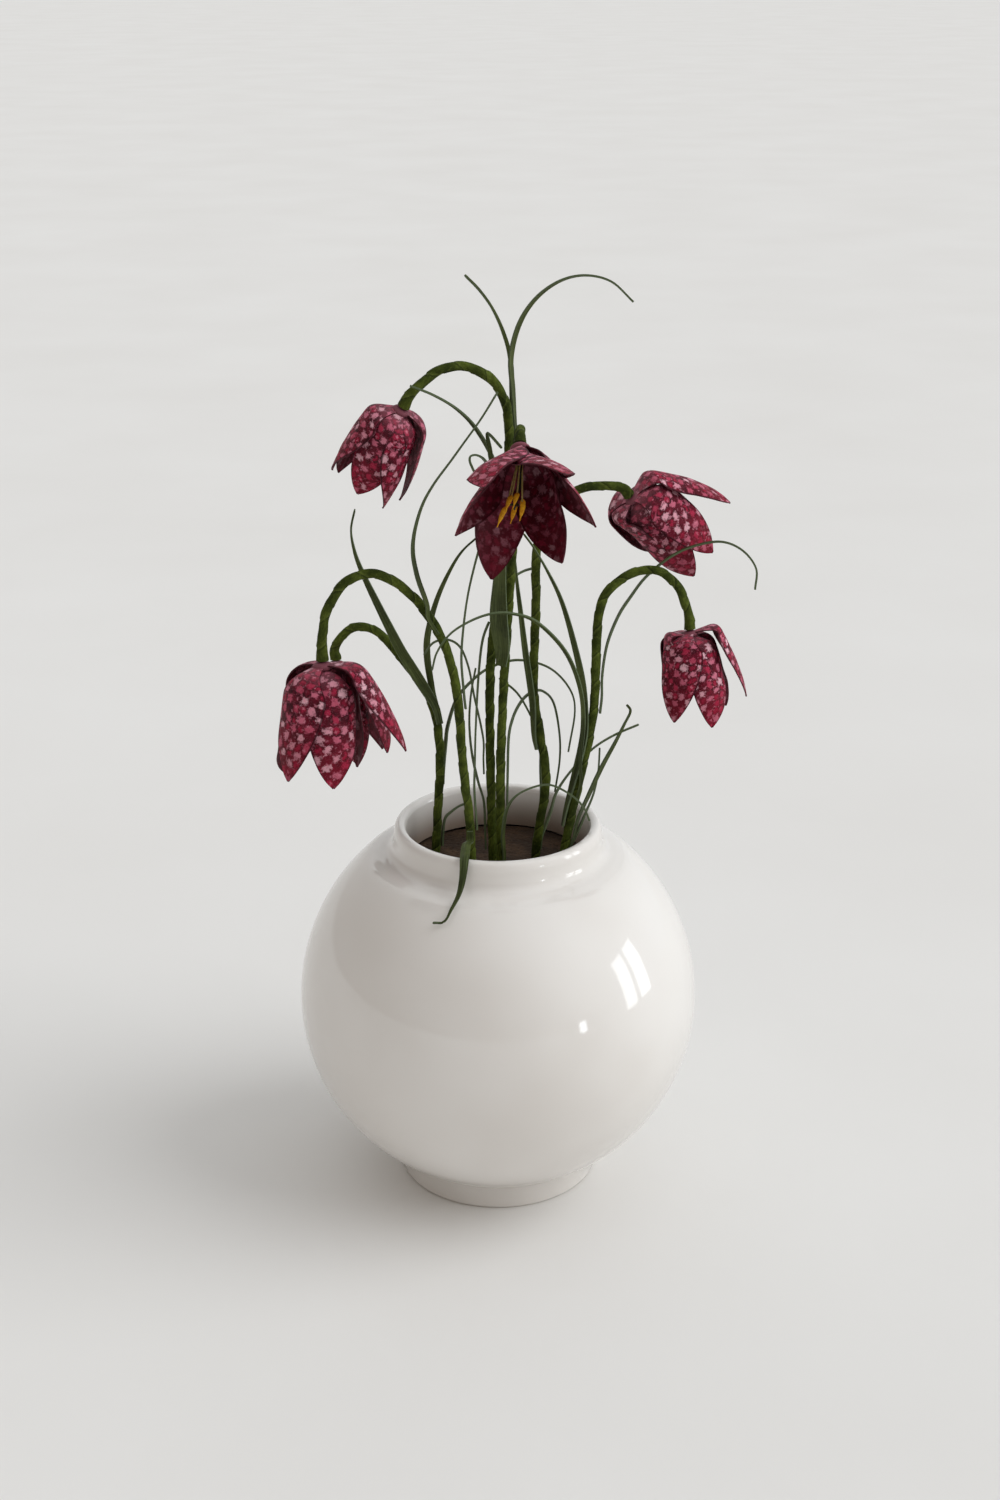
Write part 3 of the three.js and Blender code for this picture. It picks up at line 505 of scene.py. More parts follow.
leaves = {
    "leaf_top_left": {
        "on": "stem_1", "at": 0.236, "face": (60, 90, 160), "width": 0.0017,
        "route": [(0.0048, -0.004, 0.244), (0.0044, -0.0035, 0.2525),
                  (0.0039, -0.003, 0.2623), (0.0019, -0.0025, 0.2698),
                  (-0.0011, -0.002, 0.2764), (-0.0048, -0.001, 0.2815), (-0.0089, 0, 0.2855)],
    },
    "leaf_top_right": {
        "on": "stem_1", "at": 0.235, "face": (0, -60, 0), "width": 0.0018,
        "route": [(0.0052, -0.006, 0.2436), (0.0045, -0.0056, 0.2543),
                  (0.004, -0.0055, 0.2636), (0.0064, -0.0055, 0.273), (0.011, -0.006, 0.28),
                  (0.0176, -0.007, 0.285), (0.0245, -0.008, 0.2866),
                  (0.0316, -0.0095, 0.285), (0.0377, -0.011, 0.2798)],
    },
    "leaf_over_arch": {
        "on": "stem_1", "at": 0.222, "face": (180, 240, 200), "width": 0.0015,
        "route": [(-0.0014, -0.009, 0.236), (-0.006, -0.012, 0.245),
                  (-0.0112, -0.015, 0.251), (-0.0176, -0.018, 0.2556),
                  (-0.0238, -0.02, 0.2586)],
    },
    "leaf_loop_left": {
        "on": "stem_4", "at": 0.188, "face": (-90, -30, 0), "width": 0.0014,
        "route": [(-0.0199, -0.024, 0.197), (-0.0226, -0.024, 0.2056),
                  (-0.0236, -0.024, 0.2144), (-0.0215, -0.023, 0.224),
                  (-0.0176, -0.022, 0.2314), (-0.0117, -0.02, 0.239),
                  (-0.005, -0.018, 0.248), (0.0003, -0.016, 0.256)],
    },
    "leaf_folded": {
        "on": "stem_1", "at": 0.226, "face": (255, 270, 200), "width": 0.0016,
        "route": [(-0.0012, -0.011, 0.235), (-0.0021, -0.0115, 0.2394),
                  (-0.0027, -0.012, 0.2432), (-0.0017, -0.013, 0.243),
                  (0.0014, -0.012, 0.2392)],
    },
    "leaf_small_curl": {
        "on": "stem_1", "at": 0.214, "face": (220, 200, 180), "width": 0.0014,
        "route": [(-0.0023, -0.016, 0.2339), (-0.0036, -0.018, 0.2374),
                  (-0.0056, -0.02, 0.2391), (-0.0072, -0.022, 0.2393),
                  (-0.0075, -0.023, 0.2382), (-0.0066, -0.025, 0.2364),
                  (-0.0052, -0.027, 0.2341)],
    },
    "leaf_thin_dark": {
        "on": "stem_4", "at": 0.163, "face": (20, 0, -30), "width": 0.0015,
        "route": [(-0.0105, -0.017, 0.1778), (-0.0097, -0.016, 0.188),
                  (-0.0084, -0.015, 0.197), (-0.0066, -0.015, 0.205),
                  (-0.0046, -0.014, 0.212), (-0.0032, -0.013, 0.217)],
    },
    "leaf_back_left": {
        "on": "stem_6", "at": 0.149, "face": (60, 90, 90), "width": 0.0022,
        "route": [(-0.0204, 0.0174, 0.1572), (-0.0216, 0.017, 0.1673),
                  (-0.0213, 0.018, 0.1744), (-0.019, 0.0195, 0.1832),
                  (-0.0157, 0.021, 0.191), (-0.0114, 0.022, 0.1984),
                  (-0.0068, 0.023, 0.2028), (-0.004, 0.024, 0.2044)],
    },
    "leaf_broad_front": {
        "on": "stem_2", "at": 0.174, "face": (-120, -90, -90), "width": 0.0054,
        "route": [(0.0005, -0.015, 0.1893), (0.0005, -0.0165, 0.1974),
                  (0.0011, -0.018, 0.208), (0.0022, -0.0185, 0.2186),
                  (0.0033, -0.018, 0.2286)],
    },
    "leaf_dark_right": {
        "on": "stem_3", "at": 0.142, "face": (210, 270, 270), "width": 0.0022,
        "route": [(0.0105, 0.002, 0.1584), (0.0086, 0.001, 0.1722), (0.007, -0.001, 0.1863),
                  (0.0058, -0.002, 0.1968), (0.0049, -0.003, 0.2075),
                  (0.0041, -0.004, 0.217)],
    },
    "leaf_broad_right": {
        "on": "stem_5", "at": 0.121, "face": (190, 260, 270), "width": 0.0027,
        "route": [(0.0227, -0.0074, 0.135), (0.0251, -0.0075, 0.1457),
                  (0.0261, -0.0065, 0.1545), (0.0252, -0.005, 0.1667),
                  (0.0224, -0.0035, 0.1794), (0.0188, -0.001, 0.191),
                  (0.0147, 0.001, 0.1993), (0.0108, 0.003, 0.2057), (0.0076, 0.005, 0.2097)],
    },
    "leaf_front_arch": {
        "on": "stem_5", "at": 0.131, "face": (278, 240, 180), "width": 0.0013,
        "route": [(0.0248, -0.01, 0.1437), (0.0255, -0.0105, 0.1567),
                  (0.0241, -0.0115, 0.168), (0.0195, -0.014, 0.1798),
                  (0.0112, -0.018, 0.1897), (0.004, -0.021, 0.1932),
                  (-0.002, -0.023, 0.1937), (-0.008, -0.0245, 0.192),
                  (-0.0134, -0.0265, 0.189), (-0.0171, -0.028, 0.184),
                  (-0.0186, -0.028, 0.1786)],
    },
    "leaf_low_arch": {
        "on": "stem_1", "at": 0.137, "face": (180, 180, 180), "width": 0.0012,
        "route": [(-0.0043, -0.005, 0.149), (-0.0067, -0.006, 0.1614),
                  (-0.0084, -0.008, 0.1722), (-0.0109, -0.01, 0.1794),
                  (-0.0147, -0.012, 0.1824), (-0.0187, -0.013, 0.1817),
                  (-0.0214, -0.014, 0.1783)],
    },
    "leaf_broad_left": {
        "on": "stem_6", "at": 0.147, "face": (-60, -90, -90), "width": 0.0034,
        "route": [(-0.0215, 0.0114, 0.1573), (-0.0252, 0.013, 0.163),
                  (-0.0294, 0.0148, 0.1696), (-0.033, 0.0155, 0.177),
                  (-0.037, 0.015, 0.186), (-0.0405, 0.0145, 0.1943),
                  (-0.0427, 0.014, 0.201), (-0.0437, 0.014, 0.208),
                  (-0.0424, 0.0145, 0.2145)],
    },
    "leaf_right_arch": {
        "on": "stem_5", "at": 0.157, "face": (10, 0, 0), "width": 0.0018,
        "route": [(0.0312, -0.0035, 0.1684), (0.0326, -0.002, 0.1776),
                  (0.0359, 0.001, 0.1854), (0.0398, 0.004, 0.1906), (0.0445, 0.006, 0.1962),
                  (0.0516, 0.007, 0.202), (0.0589, 0.007, 0.2053), (0.0663, 0.005, 0.207),
                  (0.0724, 0.0035, 0.2047), (0.0764, 0.002, 0.1996), (0.0762, 0.001, 0.1934)],
    },
    "leaf_low_right": {
        "on": "stem_5", "at": 0.112, "face": (0, -60, -60), "width": 0.0018,
        "route": [(0.0246, -0.007, 0.1235), (0.028, -0.0055, 0.1312),
                  (0.0317, -0.0035, 0.139), (0.0354, -0.0025, 0.146),
                  (0.0382, -0.002, 0.152), (0.04, -0.0015, 0.156), (0.0389, -0.001, 0.158)],
    },
    "leaf_back_right": {
        "on": "stem_3", "at": 0.1085, "face": (50, 0, 0), "width": 0.0013,
        "route": [(0.0164, 0.009, 0.1186), (0.0184, 0.013, 0.1236), (0.0234, 0.017, 0.1296),
                  (0.0299, 0.02, 0.1354), (0.0363, 0.022, 0.139), (0.0444, 0.023, 0.1424)],
    },
    "leaf_rim_right": {
        "on": "stem_5", "at": 0.1075, "face": (45, 0, 0), "width": 0.0014,
        "route": [(0.0244, -0.002, 0.1165), (0.027, 0, 0.122), (0.0296, 0.002, 0.128),
                  (0.0309, 0.0035, 0.1343), (0.0312, 0.003, 0.1424)],
    },
    "leaf_mid_arch": {
        "on": "stem_2", "at": 0.128, "face": (10, -20, 0), "width": 0.0022,
        "route": [(0.0033, -0.006, 0.148), (0.0046, -0.001, 0.1536), (0.007, 0.004, 0.157),
                  (0.01, 0.009, 0.1582), (0.0137, 0.013, 0.1574), (0.0174, 0.015, 0.1526),
                  (0.0192, 0.0165, 0.142), (0.0194, 0.017, 0.133), (0.018, 0.017, 0.122)],
    },
    "leaf_rim_arch": {
        "on": "stem_2", "at": 0.108, "face": (-60, -20, 0), "width": 0.0014,
        "route": [(0.0016, -0.013, 0.1205), (0.0028, -0.013, 0.129),
                  (0.0068, -0.0125, 0.134), (0.0149, -0.012, 0.1365),
                  (0.022, -0.0125, 0.1334), (0.026, -0.0115, 0.1287),
                  (0.0278, -0.01, 0.1238)],
    },
    "leaf_low_back": {
        "on": "stem_6", "at": 0.108, "face": (30, 0, 0), "width": 0.0017,
        "route": [(-0.0164, 0.008, 0.117), (-0.0144, 0.009, 0.1188), (-0.012, 0.01, 0.1202),
                  (-0.0095, 0.011, 0.1208)],
    },
    "leaf_back_arch": {
        "on": "stem_6", "at": 0.128, "face": (60, 0, 0), "width": 0.0015,
        "route": [(-0.0162, 0.014, 0.1394), (-0.0155, 0.0155, 0.145),
                  (-0.0129, 0.018, 0.1525), (-0.0085, 0.02, 0.1576),
                  (-0.0023, 0.022, 0.1618), (0.0064, 0.024, 0.1636), (0.016, 0.026, 0.1604),
                  (0.0225, 0.0275, 0.153), (0.0244, 0.028, 0.1448), (0.0225, 0.028, 0.1312)],
    },
    "leaf_left_middle": {
        "on": "stem_4", "at": 0.123, "face": (20, 0, -40), "width": 0.0014,
        "route": [(-0.007, -0.013, 0.1354), (-0.0067, -0.012, 0.1463),
                  (-0.0063, -0.0115, 0.1596), (-0.0054, -0.0108, 0.1723),
                  (-0.0042, -0.01, 0.1817), (-0.0024, -0.0094, 0.187)],
    },
    "leaf_left_inner": {
        "on": "stem_1", "at": 0.112, "face": (180, 200, 180), "width": 0.0016,
        "route": [(-0.0042, -0.0042, 0.1274), (-0.006, -0.004, 0.1344),
                  (-0.0077, -0.0035, 0.1427), (-0.0085, -0.0025, 0.153),
                  (-0.0079, -0.002, 0.1615), (-0.0064, -0.001, 0.1697)],
    },
    "leaf_behind_middle": {
        "on": "stem_3", "at": 0.109, "face": (110, 180, 180), "width": 0.0013,
        "route": [(0.0135, 0.0065, 0.1235), (0.0132, 0.009, 0.1327), (0.0128, 0.0105, 0.143),
                  (0.01, 0.012, 0.15), (0.006, 0.014, 0.1563), (0.0005, 0.016, 0.1605)],
    },
    "leaf_thin_middle": {
        "on": "stem_1", "at": 0.184, "face": (60, 0, 0), "width": 0.0012,
        "route": [(0.0016, -0.001, 0.194), (0.004, 0.003, 0.196), (0.0077, 0.008, 0.197),
                  (0.0116, 0.0145, 0.1964)],
    },
    "leaf_over_rim": {
        "on": "stem_4", "at": 0.124, "face": (0, 0, 30), "width": 0.0029,
        "run": -0.003, "away": (1, 0, 0),
        "route": [(-0.0092, -0.0216, 0.1214), (-0.0096, -0.027, 0.1209),
                  (-0.0098, -0.031, 0.1204), (-0.01, -0.0334, 0.1182),
                  (-0.0105, -0.0344, 0.1146), (-0.0115, -0.0364, 0.1113),
                  (-0.0135, -0.04, 0.1086), (-0.0155, -0.0425, 0.106),
                  (-0.019, -0.042, 0.1053)],
    },
}


def facing(heading, away, angle):
    away = (away - heading * heading.dot(away)).normalized()
    right = away.cross(heading)
    return right * cos(radians(angle)) + away * sin(radians(angle))


def leafTaper(t):
    p = leafPaper
    foot = p["footShare"] + (1 - p["footShare"]) * smooth(0, p["footRun"], t)
    slim = 1 - p["slimming"] * smooth(*p["slimRun"], t)
    return foot * slim * (1 - p["pointing"] * smooth(p["pointFrom"], 1, t))


def stemAt(line, headings, height):
    i = next(k for k in range(1, len(line)) if line[k].z >= height)
    part = (height - line[i - 1].z) / (line[i].z - line[i - 1].z)
    return line[i - 1].lerp(line[i], part), headings[i - 1].lerp(headings[i], part).normalized()


def makeLeafPaper():
    material, tree, shader = newMaterial("oliveLeafPaper")
    place = objectPlace(tree)
    uv = uvPlace(tree)
    cloud = speckle(tree, place, 60, 3)
    colour = blend(tree, fade(tree, cloud, 0.32, 0.68), paint(44, 52, 24), paint(76, 86, 44))
    streak = node(tree, "Mapping", {"Vector": uv, "Scale": (2600.0, 90.0, 1.0)}).outputs[0]
    fibre = speckle(tree, streak, 1.0, 3)
    colour = blend(tree, fade(tree, fibre, 0.42, 0.75, 0, 0.45), colour, paint(108, 120, 76))
    spot = speckle(tree, place, 900, 2)
    colour = blend(tree, fade(tree, spot, 0.55, 0.75, 0, 0.35), colour, paint(30, 38, 20))
    surface(tree, shader, colour, 0.55, 0.18)
    bump(tree, shader, maths(tree, "ADD", fibre, maths(tree, "MULTIPLY", spot, 0.6)), 0.00012, 0.6)
    return material


def makeCutEdge(name, colour, dark):
    material, tree, shader = newMaterial(name)
    grain = speckle(tree, objectPlace(tree), 2600, 3)
    surface(tree, shader, blend(tree, grain, colour, dark), 0.8)
    bump(tree, shader, grain, 0.00008, 0.5)
    return material


def makeLeaf(name, leaf, paper, stemLines, seed):
    p = leafPaper
    away = Vector(leaf.get("away", (0, 1, 0)))
    lift = stem["wrapRadius"] + p["gap"]
    feet = []
    for height in (leaf["at"], leaf["at"] + leaf.get("run", p["tiedRun"])):
        point, heading = stemAt(*stemLines[leaf["on"]], height)
        feet.append(point + facing(heading, away, leaf["face"][0]) * lift)
    line = smoothLine([*feet, *leaf["route"]], p["steps"])
    headings = headingsOf(line)
    width = leaf["width"]
    crease = width * (p["broadCrease"] if width > p["broad"] else p["slimCrease"])
    along = lengthsAlong(line)

    def shape(row, across):
        t = row / (len(line) - 1)
        first, middle, last = leaf["face"]
        angle = mix(first, middle, 2 * t) if t < 0.5 else mix(middle, last, 2 * t - 1)
        normal = facing(headings[row], away, angle)
        side = headings[row].cross(normal)
        half = max(width * leafTaper(t), p["tipWidth"]) / 2
        half *= 1 - p["rounding"] * smooth(p["roundFrom"], 1, t)
        fold = crease * smooth(0, p["foldRun"], t) * leafTaper(t)
        wave = p["wave"] * lumps(line[row], p["waveSize"], seed)
        curl = fold * (abs(across) - 0.5) + wave - p["thickness"] / 2
        return line[row] + side * half * across + normal * curl, (half * across, along[row])

    bm = bmesh.new()
    verts = addSheet(bm, len(line) - 1, p["columns"], shape)
    thicken(bm, verts, p["thickness"], 1)
    bmesh.ops.recalc_face_normals(bm, faces=bm.faces)
    return finishPiece(bm, "paper_" + name, paper, [name])


petal = {
    "length": 0.0394, "width": 0.018, "card": 0.00036, "layerStep": 0.0015, "layerShift": 0.06,
    "bendPlace": 0.25, "cup": 0.0125, "crownSlope": 12, "sideSlope": 82, "tipCurl": 14,
    "rows": 56, "columns": 20, "crownRadius": 0.003, "crownHeight": 0.0031, "check": 0.0027,
    "rootRadius": 0.0008, "rootHeight": 0.0009, "crease": 0.00016, "dent": 0.00014, "dentSize": 0.0062,
    "neckShare": 0.22, "neckRun": 0.38, "pointFrom": 0.4, "pointEase": 0.8, "tipHalf": 0.00035,
    "wander": 0.014, "wanders": 9, "smallCheck": 0.46,
}


def petalHalfWidth(t):
    p = petal
    shoulder = p["neckShare"] + (1 - p["neckShare"]) * smooth(0, p["neckRun"], t)
    point = (1 - max((t - p["pointFrom"]) / (1 - p["pointFrom"]), 0) ** 2) ** p["pointEase"]
    return max(p["width"] / 2 * shoulder * point, p["tipHalf"])


def makeCheckCard():
    # painted check: pale and dark rounded blobs in turn, pushed about and crumbled at their edges
    material, tree, shader = newMaterial("checkedCard")
    uv = uvPlace(tree)
    along, rim, inside = [node(tree, "Attribute", attribute_name=name).outputs["Fac"]
                          for name in ("along", "rim", "inside")]

    def pushed(scale, amount):
        wander = node(tree, "TexNoise", {"Vector": uv, "Scale": scale, "Detail": 2.0, "Roughness": 0.6})
        push = node(tree, "VectorMath", {0: wander.outputs["Color"], 1: (0.5, 0.5, 0.5)},
                    operation="SUBTRACT")
        return node(tree, "VectorMath", {0: push.outputs[0], "Scale": amount}, operation="SCALE").outputs[0]

    def checks(size, drift):
        # -1 to 1 over rounded squares in turn, and a draw of its own for each
        place = node(tree, "VectorMath", {0: uv, 1: drift}, operation="ADD").outputs[0]
        place = node(tree, "VectorMath", {0: place, "Scale": 1 / size}, operation="SCALE").outputs[0]
        split = node(tree, "SeparateXYZ", {0: place}).outputs
        waves = [maths(tree, "SINE", maths(tree, "MULTIPLY", split[k], pi)) for k in (0, 1)]
        cell = node(tree, "VectorMath", {0: place}, operation="FLOOR").outputs[0]
        draw = node(tree, "TexWhiteNoise", {"Vector": cell}, noise_dimensions="2D").outputs[0]
        return maths(tree, "MULTIPLY", *waves), draw

    wide = node(tree, "VectorMath", {0: pushed(120.0, 0.0040), 1: pushed(620.0, 0.0015)}, operation="ADD")
    crumb = speckle(tree, uv, 1100, 6, 0.78)
    grit = speckle(tree, uv, 3800, 3, 0.6)
    ragged = maths(tree, "MULTIPLY", maths(tree, "SUBTRACT", crumb, 0.5), 4.6)
    wave, draw = checks(petal["check"], wide.outputs[0])
    cloud = fade(tree, speckle(tree, uv, 260, 3), 0.35, 0.68)
    base = blend(tree, cloud, paint(54, 3, 16), paint(100, 10, 34))
    # the dark checks, crimson where the paint is thin
    dark = fade(tree, maths(tree, "SUBTRACT", ragged, wave), 0.1, 1.0)
    dark = maths(tree, "MULTIPLY", dark, fade(tree, draw, 0.2, 0.7))
    colour = blend(tree, dark, base, paint(158, 26, 58))
    # the pale checks, from rose to nearly white
    tone = blend(tree, fade(tree, draw, 0.15, 0.5), paint(172, 38, 70), paint(204, 108, 132))
    tone = blend(tree, fade(tree, draw, 0.5, 0.95), tone, paint(234, 184, 196))
    pale = fade(tree, maths(tree, "ADD", ragged, wave), -0.08, 0.68)
    colour = blend(tree, maths(tree, "MULTIPLY", pale, 0.94), colour, tone)
    # smaller checks laid over, some rosy and some dark
    wave, draw = checks(petal["check"] * petal["smallCheck"], pushed(900.0, 0.0014))
    small = fade(tree, maths(tree, "ADD", wave, ragged), 0.25, 0.95)
    over = maths(tree, "MULTIPLY", small, fade(tree, draw, 0.3, 0.75, 0, 0.6))
    tone = blend(tree, fade(tree, draw, 0.6, 0.9), paint(72, 6, 24), paint(222, 140, 160))
    colour = blend(tree, over, colour, tone)
    colour = blend(tree, fade(tree, grit, 0.56, 0.72, 0, 0.4), colour, paint(228, 160, 176))
    colour = blend(tree, fade(tree, crumb, 0.42, 0.3, 0, 0.45), colour, paint(52, 3, 16))
    # greyer and paler by the neck, redder towards the tip
    colour = blend(tree, fade(tree, along, 0.3, 0.02, 0, 0.28), colour, paint(190, 126, 140))
    colour = blend(tree, fade(tree, along, 0.4, 0.95, 0, 0.38), colour, paint(132, 8, 34))
    colour = blend(tree, fade(tree, rim, 0.9, 0.965, 0, 0.85), colour, paint(48, 4, 16))
    # painted shade: the inner face of each petal darker, where the bell shades it
    colour = blend(tree, maths(tree, "MULTIPLY", inside, 0.72), colour, paint(64, 3, 16))
    surface(tree, shader, colour, 0.6, 0.12)
    bump(tree, shader, maths(tree, "ADD", crumb, grit), 0.0001, 0.5)
    return material


def addPetal(bm, place, data, fold, seed, frameMatrix):
    p = petal
    swing, opened, slope, layer, curl = data
    steps = p["rows"]
    bend = p["sideSlope"] - slope - opened
    middleBend = p["bendPlace"] - layer * p["layerShift"]

    def slopeAt(t):
        side = bend * smooth(middleBend - fold, middleBend + fold, t)
        return radians(slope + side + curl * smooth(0.4, 1, t))

    middle = [(p["rootRadius"], p["rootHeight"] + layer * p["layerStep"])]
    step = p["length"] / steps
    for i in range(steps):
        angle = slopeAt((i + 0.5) / steps)
        r, z = middle[-1]
        middle.append((r + step * cos(angle), z + step * sin(angle)))

    def shape(row, across):
        t = row / steps
        r, z = middle[row]
        tilt = slopeAt(t)
        edge = lumps(Vector((t * p["wanders"], across, seed)), 1, seed)
        half = petalHalfWidth(t) * (1 + p["wander"] * edge)
        cup = p["cup"] - 2 * layer * p["layerStep"] + p["cup"] / 2 * smooth(0.5, 1, t)
        angle = -half / cup * across
        # soft crease down the middle and small dents, deepest over the shoulder
        dents = lumps(Vector((half * across, p["length"] * t, 0)), p["dentSize"], seed)
        crease = -p["crease"] * (1 - smooth(0, 0.3, abs(across))) * smooth(0.15, 0.4, t)
        skin = p["card"] / 2 + p["dent"] * dents + crease
        depth = cup * (cos(angle) - 1) + skin * cos(angle)
        sideways = (cup + skin) * sin(angle)
        out = Vector((r + depth * sin(tilt), sideways, z - depth * cos(tilt)))
        turned = Matrix.Rotation(radians(place + swing * t * t), 3, "Z") @ out
        return frameMatrix @ turned, (half * across, p["length"] * t)

    return addSheet(bm, steps, p["columns"], shape)


def makeBell(name, bloom, card):
    p = petal
    bm = bmesh.new()
    alongLayer = bm.verts.layers.float.new("along")
    rimLayer = bm.verts.layers.float.new("rim")
    insideLayer = bm.verts.layers.float.new("inside")
    uvLayer = bm.loops.layers.uv.verify()
    matrix = bloomFrame(bloom)
    for i, data in enumerate(bloom["petals"]):
        seed = 10 * int(name[-1]) + i
        usual = (0, 0, p["crownSlope"], i % 2, p["tipCurl"])
        data = (*data, *usual[len(data):])
        verts = addPetal(bm, bloom["first"] + 60 * i, data, bloom["fold"], seed, matrix)
        offset = Vector((seed * 0.0137 % 0.05, seed * 0.0311 % 0.07))
        for vert in verts:
            u, v = vert.link_loops[0][uvLayer].uv
            t = min(max(v / p["length"], 0), 1)
            vert[alongLayer] = t
            vert[rimLayer] = max(abs(u) / petalHalfWidth(t), smooth(0.93, 1, t))
            for loop in vert.link_loops:
                loop[uvLayer].uv = Vector(loop[uvLayer].uv) + offset
        made = thicken(bm, verts, p["card"] * bloom["size"], 1)
        for face in made:
            if face.material_index == 0:
                for vert in face.verts:
                    vert[insideLayer] = 1
    crown = bmesh.ops.create_uvsphere(bm, u_segments=24, v_segments=12, radius=1)
    high = p["crownHeight"] / 2
    for vert in crown["verts"]:
        x, y, z = vert.co
        vert.co = matrix @ Vector((x * p["crownRadius"], y * p["crownRadius"], high + z * high))
    bmesh.ops.recalc_face_normals(bm, faces=bm.faces)
    return finishPiece(bm, "card_" + name, card, [name + "_petals"], 50)


stamens = {
    "count": 6, "outline": [(0.0005, 0.0008), (0.0022, 0.017), (0.0028, 0.019), (0.0032, 0.0235)],
    "filament": 0.00024, "anther": 0.00078, "flat": 0.55, "pistil": 0.00075, "pistilLength": 0.018,
    "lobes": 3, "lobeRadius": 0.00028, "lobeStep": 0.0006,
}


def makeStamenPaper(name, colour, other, rough=0.7):
    material, tree, shader = newMaterial(name)
    place = objectPlace(tree)
    grain = speckle(tree, place, 1700, 3)
    surface(tree, shader, blend(tree, fade(tree, grain, 0.35, 0.65), colour, other), rough)
    bump(tree, shader, grain, 0.00015, 0.6)
    return material


def makeStamens(name, bloom, papers):
    s = stamens
    bm = bmesh.new()
    matrix = bloomFrame(bloom)
    foot = petal["crownHeight"] + stem["seat"]
    size = bloom["size"]
    lean = bloom.get("lean", (0, 0))

    def standing(r, z, angle):
        share = (z / s["pistilLength"]) ** 2
        return matrix @ Vector((r * cos(angle) + lean[0] * share, r * sin(angle) + lean[1] * share, foot + z))

    def addPart(line, radius, columns, material):
        before = set(bm.faces)
        addTube(bm, line, headingsOf(line), radius, columns)
        for face in set(bm.faces) - before:
            face.material_index = material

    for i in range(s["count"]):
        angle = radians(bloom["first"] + 20 + 60 * i)
        reach = 1 + 0.25 * sin(2.4 * i)
        length = 0.92 + 0.08 * cos(2 * i)
        points = [standing(r * reach, z * length, angle) for r, z in s["outline"]]
        addPart(smoothLine(points[:2], 12), lambda row, turn: s["filament"] * size, 8, 0)
        tip = smoothLine(points[1:], 10)

        def swell(row, turn):
            # flat folded anther, fullest below its top, drawn out to a blunt point
            t = row / (len(tip) - 1)
            full = max(1 - abs(1.9 * t - 0.7) ** 2.4 if t > 0.37 else 1 - (1 - t / 0.37) ** 2, 0.12) ** 0.7
            squash = 1 / sqrt(cos(2 * pi * turn) ** 2 + (sin(2 * pi * turn) / s["flat"]) ** 2)
            return s["anther"] * size * full * squash

        addPart(tip, swell, 16, 1)
    height = s["pistilLength"]
    addPart([standing(0, height * k / 16, 0) for k in range(17)],
            lambda row, turn: s["pistil"] * size * mix(1.1, 0.7, row / 16), 12, 2)
    for k in range(s["lobes"]):
        # short lobes at the pistil's end
        points = [standing(0.0007 * j, height * 0.93 + s["lobeStep"] * j, 2.1 * k + 0.5) for j in range(3)]
        addPart(smoothLine(points, 4), lambda row, turn: s["lobeRadius"] * size, 8, 2)
    return finishPiece(bm, "paper_" + name + "_stamens", papers, [name + "_stamens"], 60)


print("vase and filling")
makeVase()
makeFilling()
print("stems")
crepe = makeCrepe()
stemLines = {}
for number, name in enumerate(stemRoutes):
    makeStem(name, crepe, number)
    line = stemCurve(name, 2)[0]
    stemLines[name] = (line, headingsOf(line))
print("leaves")
leafMaterials = [makeLeafPaper(), makeCutEdge("leafCutEdge", paint(96, 110, 78), paint(62, 74, 46))]
for number, (name, leaf) in enumerate(leaves.items()):
    makeLeaf(name, leaf, leafMaterials, stemLines, number)
print("blooms")
cardMaterials = [makeCheckCard(), makeCutEdge("cardCutEdge", paint(96, 24, 40), paint(52, 10, 20))]
stamenPapers = [
    makeStamenPaper("paleFilament", paint(214, 196, 130), paint(190, 176, 96)),
    makeStamenPaper("yellowAnther", paint(250, 188, 32), paint(228, 154, 18)),
    makeStamenPaper("darkPistil", paint(34, 40, 22), paint(20, 24, 14), 0.5),
]
for name, bloom in blooms.items():
    makeBell(name, bloom, cardMaterials)
    makeStamens(name, bloom, stamenPapers)


studio = {
    "camera": (0.0011, -0.5891, 0.3762), "pitch": 68.4, "roll": 0.09, "lens": 50, "sensor": 36,
    "floorSize": 40, "sunPower": 1.45, "sunAzimuth": 98, "sunHeight": 38, "sunSpread": 48,
    "windowAzimuth": 94, "windowHeight": 9, "windowReach": 1.5, "paneApart": 6, "panePower": 1.7,
    "paneWidth": 0.23, "paneTall": 0.62, "dimmest": 0.3, "brightest": 0.8,
    "glintAzimuth": 133, "glintPower": 0.35, "glintWidth": 0.1, "glintTall": 0.14,
    "brightSide": (0.56, 0.56, 0.61), "aimAt": (0, 0, 0.1), "middle": (0, 0, 0.08),
}


def addLight(name, kind, energy, colour, place, **settings):
    data = bpy.data.lights.new(name, kind)
    data.energy = energy
    data.color = colour
    for key, value in settings.items():
        setattr(data, key, value)
    light = bpy.data.objects.new(name, data)
    bpy.context.scene.collection.objects.link(light)
    light.location = place
    light.rotation_euler = (Vector(studio["aimAt"]) - place).to_track_quat("-Z", "Y").to_euler()
    return light


def around(azimuth, height, reach):
    # place at an azimuth from +Y towards +X and an angle above level
    a, h = radians(azimuth), radians(height)
    return Vector(studio["middle"]) + reach * Vector((sin(a) * cos(h), cos(a) * cos(h), sin(h)))


def makeFloorPaint():
    material, tree, shader = newMaterial("paleFloor")
    place = objectPlace(tree)
    cloud = speckle(tree, place, 6, 3)
    colour = blend(tree, cloud, paint(226, 224, 221), paint(234, 233, 231))
    surface(tree, shader, colour, 0.9, 0)
    bump(tree, shader, speckle(tree, place, 90, 4), 0.0004, 0.2)
    return material


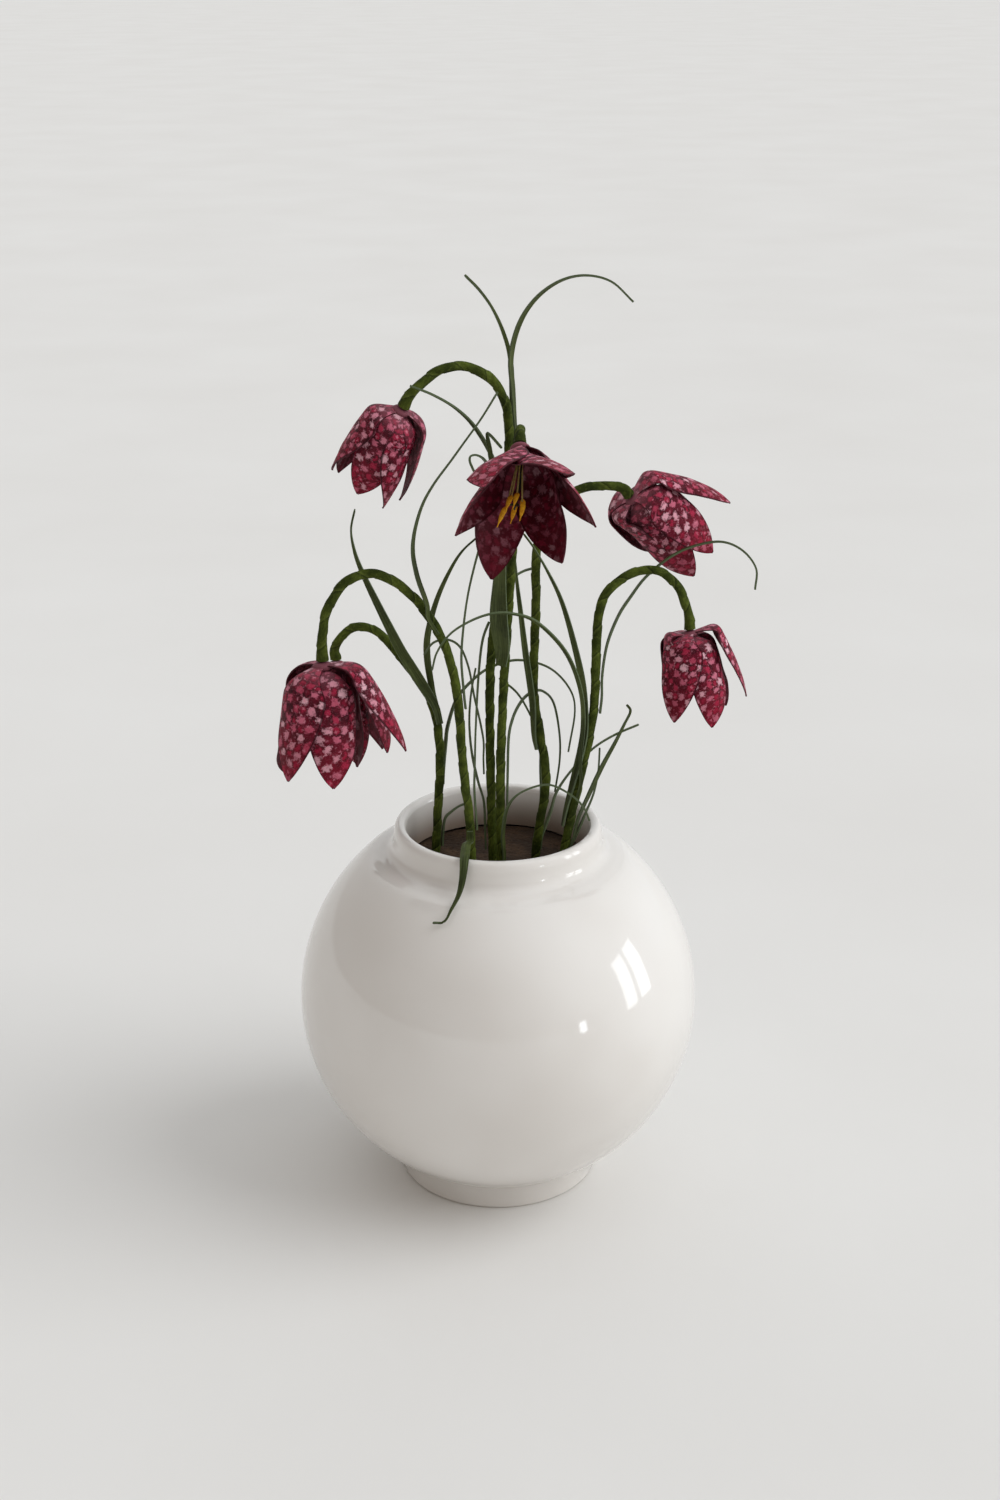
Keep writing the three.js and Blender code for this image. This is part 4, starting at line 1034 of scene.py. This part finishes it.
def makeRoom():
    # soft room light: cool and bright towards the window and the back, warm and dim in front
    world = bpy.data.worlds.new("softRoom")
    bpy.context.scene.world = world
    world.use_nodes = True
    tree = world.node_tree
    back = tree.nodes["Background"]
    toward = node(tree, "TexCoord").outputs["Generated"]
    turned = node(tree, "VectorMath", {0: toward, 1: studio["brightSide"]}, operation="DOT_PRODUCT")
    share = fade(tree, turned.outputs["Value"], -0.7, 0.8)
    tree.links.new(blend(tree, share, (1.0, 0.88, 0.78, 1), (0.95, 0.98, 1.0, 1)), back.inputs["Color"])
    tree.links.new(fade(tree, share, 0, 1, studio["dimmest"], studio["brightest"]), back.inputs["Strength"])


print("floor, light and camera")
bm = bmesh.new()
bmesh.ops.create_grid(bm, x_segments=4, y_segments=4, size=studio["floorSize"] / 2)
mesh = bpy.data.meshes.new("floor")
bm.to_mesh(mesh)
bm.free()
mesh.materials.append(makeFloorPaint())
floor = bpy.data.objects.new("floor", mesh)
bpy.context.scene.collection.objects.link(floor)

makeRoom()
daylight = addLight("softDaylight", "SUN", studio["sunPower"], (0.97, 0.985, 1),
                    around(studio["sunAzimuth"], studio["sunHeight"], 2), angle=radians(studio["sunSpread"]))
daylight.visible_glossy = False
for side in (-1, 1):
    # the two panes of the window, only mirrored in the glaze
    azimuth = studio["windowAzimuth"] + side * studio["paneApart"]
    pane = addLight("windowPane_" + ("left" if side < 0 else "right"), "AREA", studio["panePower"],
                    (0.95, 0.98, 1), around(azimuth, studio["windowHeight"], studio["windowReach"]),
                    shape="RECTANGLE", size=studio["paneWidth"], size_y=studio["paneTall"])
    pane.visible_diffuse = False
glint = addLight("smallPane", "AREA", studio["glintPower"], (0.9, 0.96, 1),
                 around(studio["glintAzimuth"], 0, studio["windowReach"]),
                 shape="RECTANGLE", size=studio["glintWidth"], size_y=studio["glintTall"])
glint.visible_diffuse = False

bpy.context.scene.view_settings.view_transform = "Standard"

cameraData = bpy.data.cameras.new("photoCamera")
cameraData.lens = studio["lens"]
cameraData.sensor_fit = "VERTICAL"
cameraData.sensor_height = studio["sensor"]
camera = bpy.data.objects.new("photoCamera", cameraData)
bpy.context.scene.collection.objects.link(camera)
camera.location = studio["camera"]
camera.rotation_euler = (radians(studio["pitch"]), radians(studio["roll"]), 0)
bpy.context.scene.camera = camera
